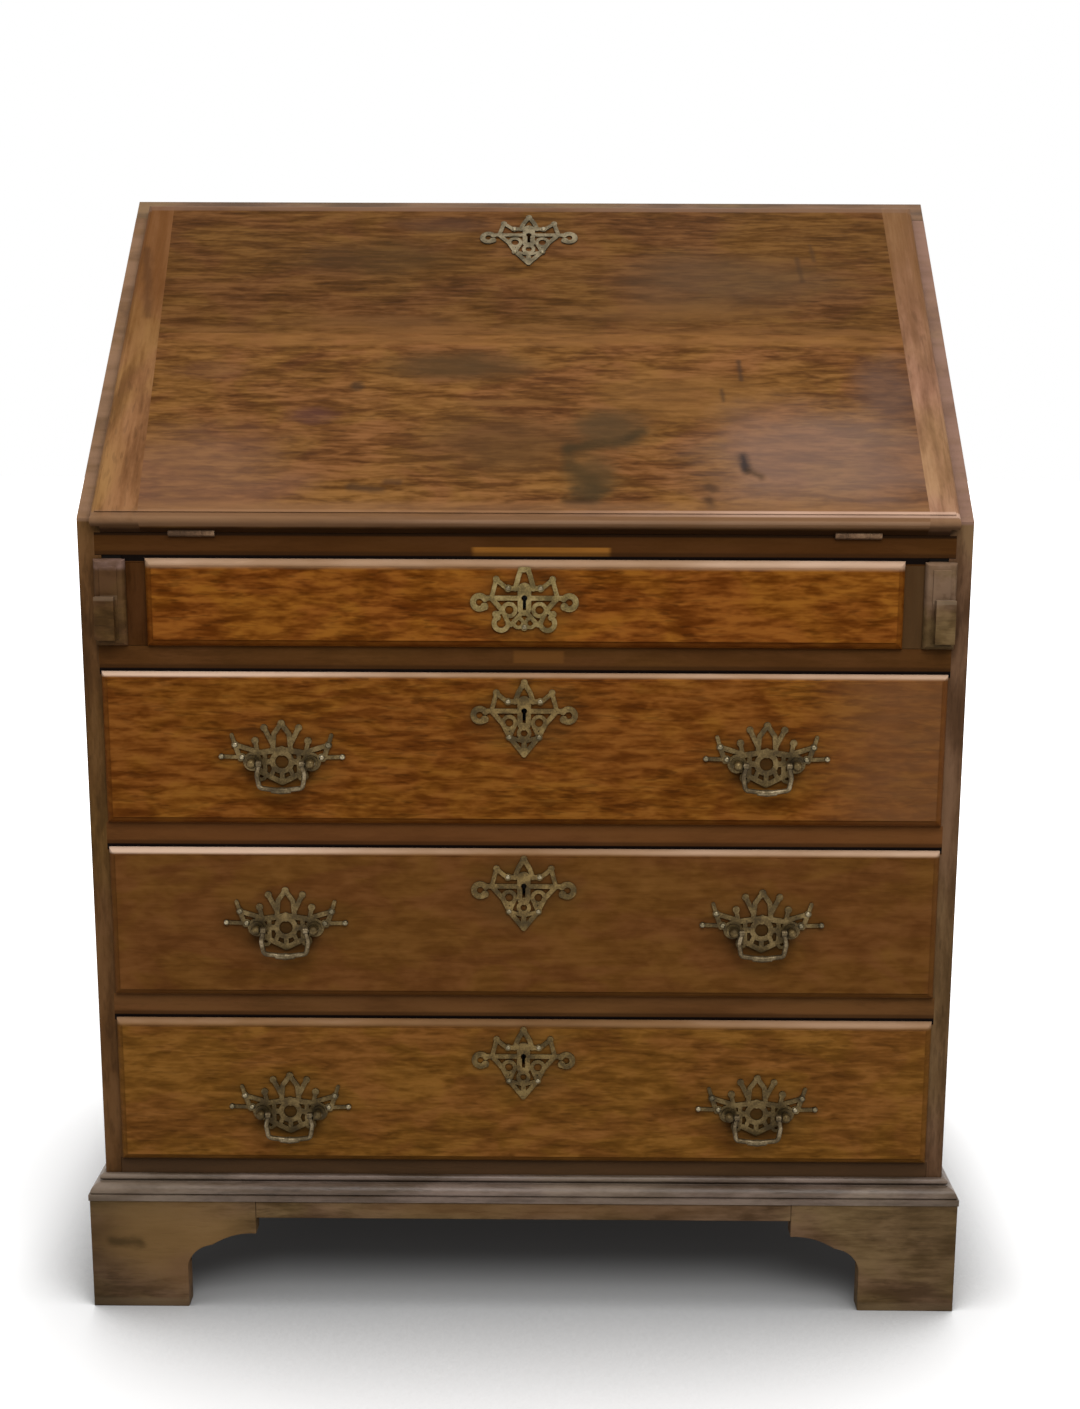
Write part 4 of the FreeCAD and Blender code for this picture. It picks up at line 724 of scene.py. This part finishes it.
# Metalwork: dull, middle and bright colours, and roughness where rubbed and where dull.
plate_brass = metal(
    "brass_plates", ((0.038, 0.023, 0.005), (0.090, 0.055, 0.014), (0.165, 0.108, 0.034)),
    (0.36, 0.58))
fall_brass = metal(
    "brass_fall", ((0.072, 0.055, 0.027), (0.138, 0.106, 0.056), (0.215, 0.168, 0.095)),
    (0.45, 0.65))
pale_brass = metal(
    "brass_pale", ((0.070, 0.047, 0.013), (0.150, 0.104, 0.033), (0.240, 0.176, 0.070)),
    (0.36, 0.58))
dark_brass = metal(
    "brass_handles", ((0.038, 0.023, 0.006), (0.080, 0.050, 0.014), (0.142, 0.095, 0.034)),
    (0.36, 0.6))
bail_brass = metal(
    "brass_bails", ((0.042, 0.027, 0.010), (0.095, 0.066, 0.029), (0.195, 0.148, 0.085)),
    (0.3, 0.5))
hinge_brass = metal(
    "brass_hinges", ((0.055, 0.028, 0.012), (0.103, 0.054, 0.025), (0.155, 0.090, 0.046)),
    (0.45, 0.65), grime_and_shade=0.4)
# Pins and bosses take a brighter brass, which paints their glints.
glinting_brass = metal(
    "brass_bosses", ((0.078, 0.060, 0.030), (0.174, 0.138, 0.075), (0.300, 0.246, 0.156)),
    (0.24, 0.42))
iron = metal(
    "iron", ((0.016, 0.014, 0.012), (0.038, 0.034, 0.030), (0.080, 0.072, 0.064)),
    (0.4, 0.65))
PALE_DRAWER = 1
for number in DRAWERS:
    dress(pale_brass if number == PALE_DRAWER else plate_brass, f"drawer_{number}_escutcheon")
    dress(iron, f"drawer_{number}_lock", f"drawer_{number}_bolt")
for number in HANDLED_DRAWERS:
    dress(dark_brass, f"drawer_{number}_handle_mounts")
    dress(bail_brass, f"drawer_{number}_bail_left", f"drawer_{number}_bail_right")
dress(fall_brass, "fall_escutcheon")
dress(iron, "fall_lock", "fall_bolt")
dress(hinge_brass, "hinge_fall_leaves", "hinge_bed_leaves", "hinge_pins")

# Softened edges on the boards and the escutcheons.
BOARD_EDGE = 0.0012
THIN_EDGE = 0.0008
FINE_EDGE = 0.0004
WELD_REACH = 0.00002
SHARP_ANGLE = math.radians(50)


def soften(width, *names):
    for name in names:
        weld = NODES[name].modifiers.new("joined", "WELD")
        weld.merge_threshold = WELD_REACH
        bevel = NODES[name].modifiers.new("softened", "BEVEL")
        bevel.width = width
        bevel.segments = 2
        bevel.limit_method = "ANGLE"
        bevel.angle_limit = SHARP_ANGLE
        normals = NODES[name].modifiers.new("normals", "WEIGHTED_NORMAL")
        normals.keep_sharp = False


soften(BOARD_EDGE, "front_feet", "rear_feet", "front_apron", "writing_bed", "left_loper",
       "right_loper")
soften(THIN_EDGE, "back_boards", "loper_dividers", "bottom_board", "pigeonhole_nest",
       *NEST_DRAWERS, *DRAWER_BOXES)
soften(FINE_EDGE, "top_board", "fall_escutcheon",
       *[f"drawer_{number}_escutcheon" for number in DRAWERS])

# Small fittings: pins of the escutcheons, bosses of the handles and nails of the back.
# A head's profile gives shares of its radius and height, from its foot to its top.
DOME = ((1.0, 0.0), (1.0, 0.12), (0.93, 0.42), (0.74, 0.74), (0.42, 0.94), (0.0, 1.0))
TURNS = 20


def dome(mesh, radius, height, place, normal):
    """Add one turned head that stands on a point along a normal."""
    turn = normal.to_track_quat("Z", "Y").to_matrix().to_4x4()
    matrix = Matrix.Translation(place) @ turn
    rings = []
    for reach, rise in DOME:
        ring = []
        for index in range(TURNS if reach else 1):
            angle = math.tau * index / TURNS
            local = Vector((math.cos(angle) * reach * radius, math.sin(angle) * reach * radius,
                            rise * height))
            ring.append(mesh.verts.new(matrix @ local))
        rings.append(ring)
    for lower, upper in zip(rings, rings[1:]):
        for index in range(TURNS):
            after = (index + 1) % TURNS
            if len(upper) == 1:
                mesh.faces.new((lower[index], lower[after], upper[0]))
            else:
                mesh.faces.new((lower[index], lower[after], upper[after], upper[index]))
    mesh.faces.new(list(reversed(rings[0])))


def heads(name, body, material, size, places):
    """One piece made of all the heads of a kind on a body. Size is their radius and height."""
    mesh = bmesh.new()
    for place, normal in places:
        dome(mesh, *size, place, normal)
    data = bpy.data.meshes.new(name)
    mesh.to_mesh(data)
    mesh.free()
    for polygon in data.polygons:
        polygon.use_smooth = True
    data.materials.append(material)
    piece = bpy.data.objects.new(name, data)
    bpy.context.scene.collection.objects.link(piece)
    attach(piece, body)


FORWARD = Vector((0, -1, 0))
BACKWARD = Vector((0, 1, 0))
PIN = (0.0023, 0.0013)
BOSS = (0.0026, 0.0018)
NAIL = (0.0032, 0.0012)
PLATE = 0.0016
KEY_HALF = 0.049
HANDLE_HALF = 0.058
FALL_KEY = 0.3689
# Places as shares of a plate's half width from its middle.
willow_pins = ((0.30, 0.18), (-0.30, 0.18), (0.28, -0.50), (-0.28, -0.50))
scrolled_pins = ((0.30, 0.18), (-0.30, 0.18), (0, -0.54))
boss_shares = ((0.63, 0.07), (0.74, 0.27), (0.96, 0.08))
for number in DRAWERS:
    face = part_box(f"drawer_{number}_escutcheon")[0].y
    key = Vector((0, face, key_level(number)))
    places = [(key + Vector((x * KEY_HALF, 0, z * KEY_HALF)), FORWARD)
              for x, z in (scrolled_pins if number == PALE_DRAWER else willow_pins)]
    heads(f"drawer_{number}_escutcheon_pins", f"drawer_{number}", glinting_brass, PIN, places)
    if number in HANDLED_DRAWERS:
        places = [(Vector((centre.x + side * x * HANDLE_HALF, face, centre.z + z * HANDLE_HALF)),
                   FORWARD)
                  for centre in handle_places(number) for side in (-1, 1) for x, z in boss_shares]
        heads(f"drawer_{number}_handle_bosses", f"drawer_{number}", glinting_brass, BOSS,
              places)
places = [(on_fall(x * KEY_HALF, FALL_KEY + z * KEY_HALF, FALL_THICK + PLATE), OUT_SLOPE)
          for x, z in willow_pins]
heads("fall_escutcheon_pins", "fall", glinting_brass, PIN, places)

BED_NAILS = 0.745
nail_levels = (back_low.z + 0.018, BED_NAILS, back_high.z - 0.010)
nail_shares = (0.12, 0.5, 0.88)
places = [(Vector((back_low.x + board_width * (index + share), back_high.y, level)), BACKWARD)
          for index in range(BACK_BOARDS) for share in nail_shares for level in nail_levels]
heads("back_nails", "case", iron, NAIL, places)

# Floor: white where nothing shades it, with the desk's shadow also painted into its colour and glow
# from occlusion, and dim to the light that it throws back at the desk.
WHITE = (1.0, 1.0, 1.0, 1.0)
FLOOR_REACH = 14.0
SHADOW_REACH = 0.45
SHADOW_SAMPLES = 12
FLOOR_BOUNCE = 0.35
SHADED, OPEN = 0.36, 0.98
floor_mesh = bpy.data.meshes.new("floor")
floor_mesh.from_pydata([(-FLOOR_REACH, -FLOOR_REACH, 0), (FLOOR_REACH, -FLOOR_REACH, 0),
                        (FLOOR_REACH, FLOOR_REACH, 0), (-FLOOR_REACH, FLOOR_REACH, 0)],
                       [], [(0, 1, 2, 3)])
floor = bpy.data.objects.new("floor", floor_mesh)
bpy.context.scene.collection.objects.link(floor)
graph = Surface("floor")
seen = graph.in_sight()
distance = graph.vector("LENGTH", graph.place())
sideways = graph.calc("ABSOLUTE", graph.axes(graph.place())[X])
# Painted shadow: occlusion by the desk darkens the floor's colour.
open_share = graph.calc("SUBTRACT", 1.0, graph.crevices(SHADOW_REACH, SHADOW_SAMPLES))
open_share = graph.calc("MAXIMUM", open_share, graph.remap(sideways, 0.41, 0.54, 0.0, 0.85))
# The glow grows away from the desk and with the open share, so the painted shadow stays round the
# desk.
glow = graph.total((graph.remap(distance, 0.40, 1.5), 0.8),
                   (graph.remap(sideways, 0.42, 0.60), 0.17), (open_share, 0.17), (1.0, 0.015))
shown = graph.calc("MULTIPLY", seen, graph.remap(open_share, 0.0, 1.0, SHADED, OPEN))
thrown_back = graph.remap(seen, 0.0, 1.0, FLOOR_BOUNCE, 0.0)
graph.finish(graph.calc("MAXIMUM", shown, thrown_back), 1.0, 0.0)
graph.join(graph.calc("MULTIPLY", seen, glow), graph.shader.inputs["Emission Strength"])
graph.shader.inputs["Emission Color"].default_value = WHITE
floor_mesh.materials.append(graph.material)

# Studio: a white backdrop, with soft light that comes mostly from above.
SKY_RISE = (0.20, 0.95)
SKY_LIGHT = (0.06, 0.95)
world = bpy.data.worlds.new("studio")
bpy.context.scene.world = world
world.use_nodes = True
graph = Graph(world.node_tree)
rise = graph.axes(graph.add("ShaderNodeTexCoord").outputs["Generated"])[Z]
sky_light = graph.remap(rise, *SKY_RISE, *SKY_LIGHT)
sky = graph.add("ShaderNodeBackground")
sky.inputs["Color"].default_value = WHITE
graph.join(graph.calc("MAXIMUM", sky_light, graph.in_sight()), sky.inputs["Strength"])
graph.join(sky.outputs[0], graph.add("ShaderNodeOutputWorld").inputs[0])


def lamp(name, place, target, size, power):
    data = bpy.data.lights.new(name, "AREA")
    data.shape = "RECTANGLE"
    data.size, data.size_y = size
    data.energy = power
    light = bpy.data.objects.new(name, data)
    light.location = place
    way = Vector(target) - Vector(place)
    light.rotation_euler = way.to_track_quat("-Z", "Y").to_euler()
    bpy.context.scene.collection.objects.link(light)


lamp("key_light", place=(0.45, -2.0, 2.55), target=(0, -0.1, 0.5), size=(2.2, 1.4), power=42.0)
lamp("top_light", place=(0.2, 0.35, 3.1), target=(0, 0, 0.5), size=(2.2, 1.6), power=12.0)

# Camera, fitted to the corners of the case in the photo.
PHOTO_HEIGHT = 1409
FOCAL_PIXELS = 1723
SENSOR = 36.0
CAMERA_PLACE = (0.0231, -1.7909, 0.8910)
CAMERA_DOWN = math.radians(10.67)
CAMERA_YAW = math.radians(0.32)
CAMERA_ROLL = math.radians(0.22)
camera_data = bpy.data.cameras.new("camera")
camera_data.sensor_width = SENSOR
camera_data.lens = FOCAL_PIXELS / PHOTO_HEIGHT * SENSOR
camera = bpy.data.objects.new("camera", camera_data)
camera.location = CAMERA_PLACE
tilt = Euler((math.radians(90) - CAMERA_DOWN, 0, 0)).to_matrix()
yaw = Euler((0, 0, CAMERA_YAW)).to_matrix()
roll = Euler((0, 0, CAMERA_ROLL)).to_matrix()
camera.rotation_euler = (yaw @ tilt @ roll).to_euler()
bpy.context.scene.collection.objects.link(camera)
bpy.context.scene.camera = camera
bpy.context.scene.view_settings.view_transform = "Standard"
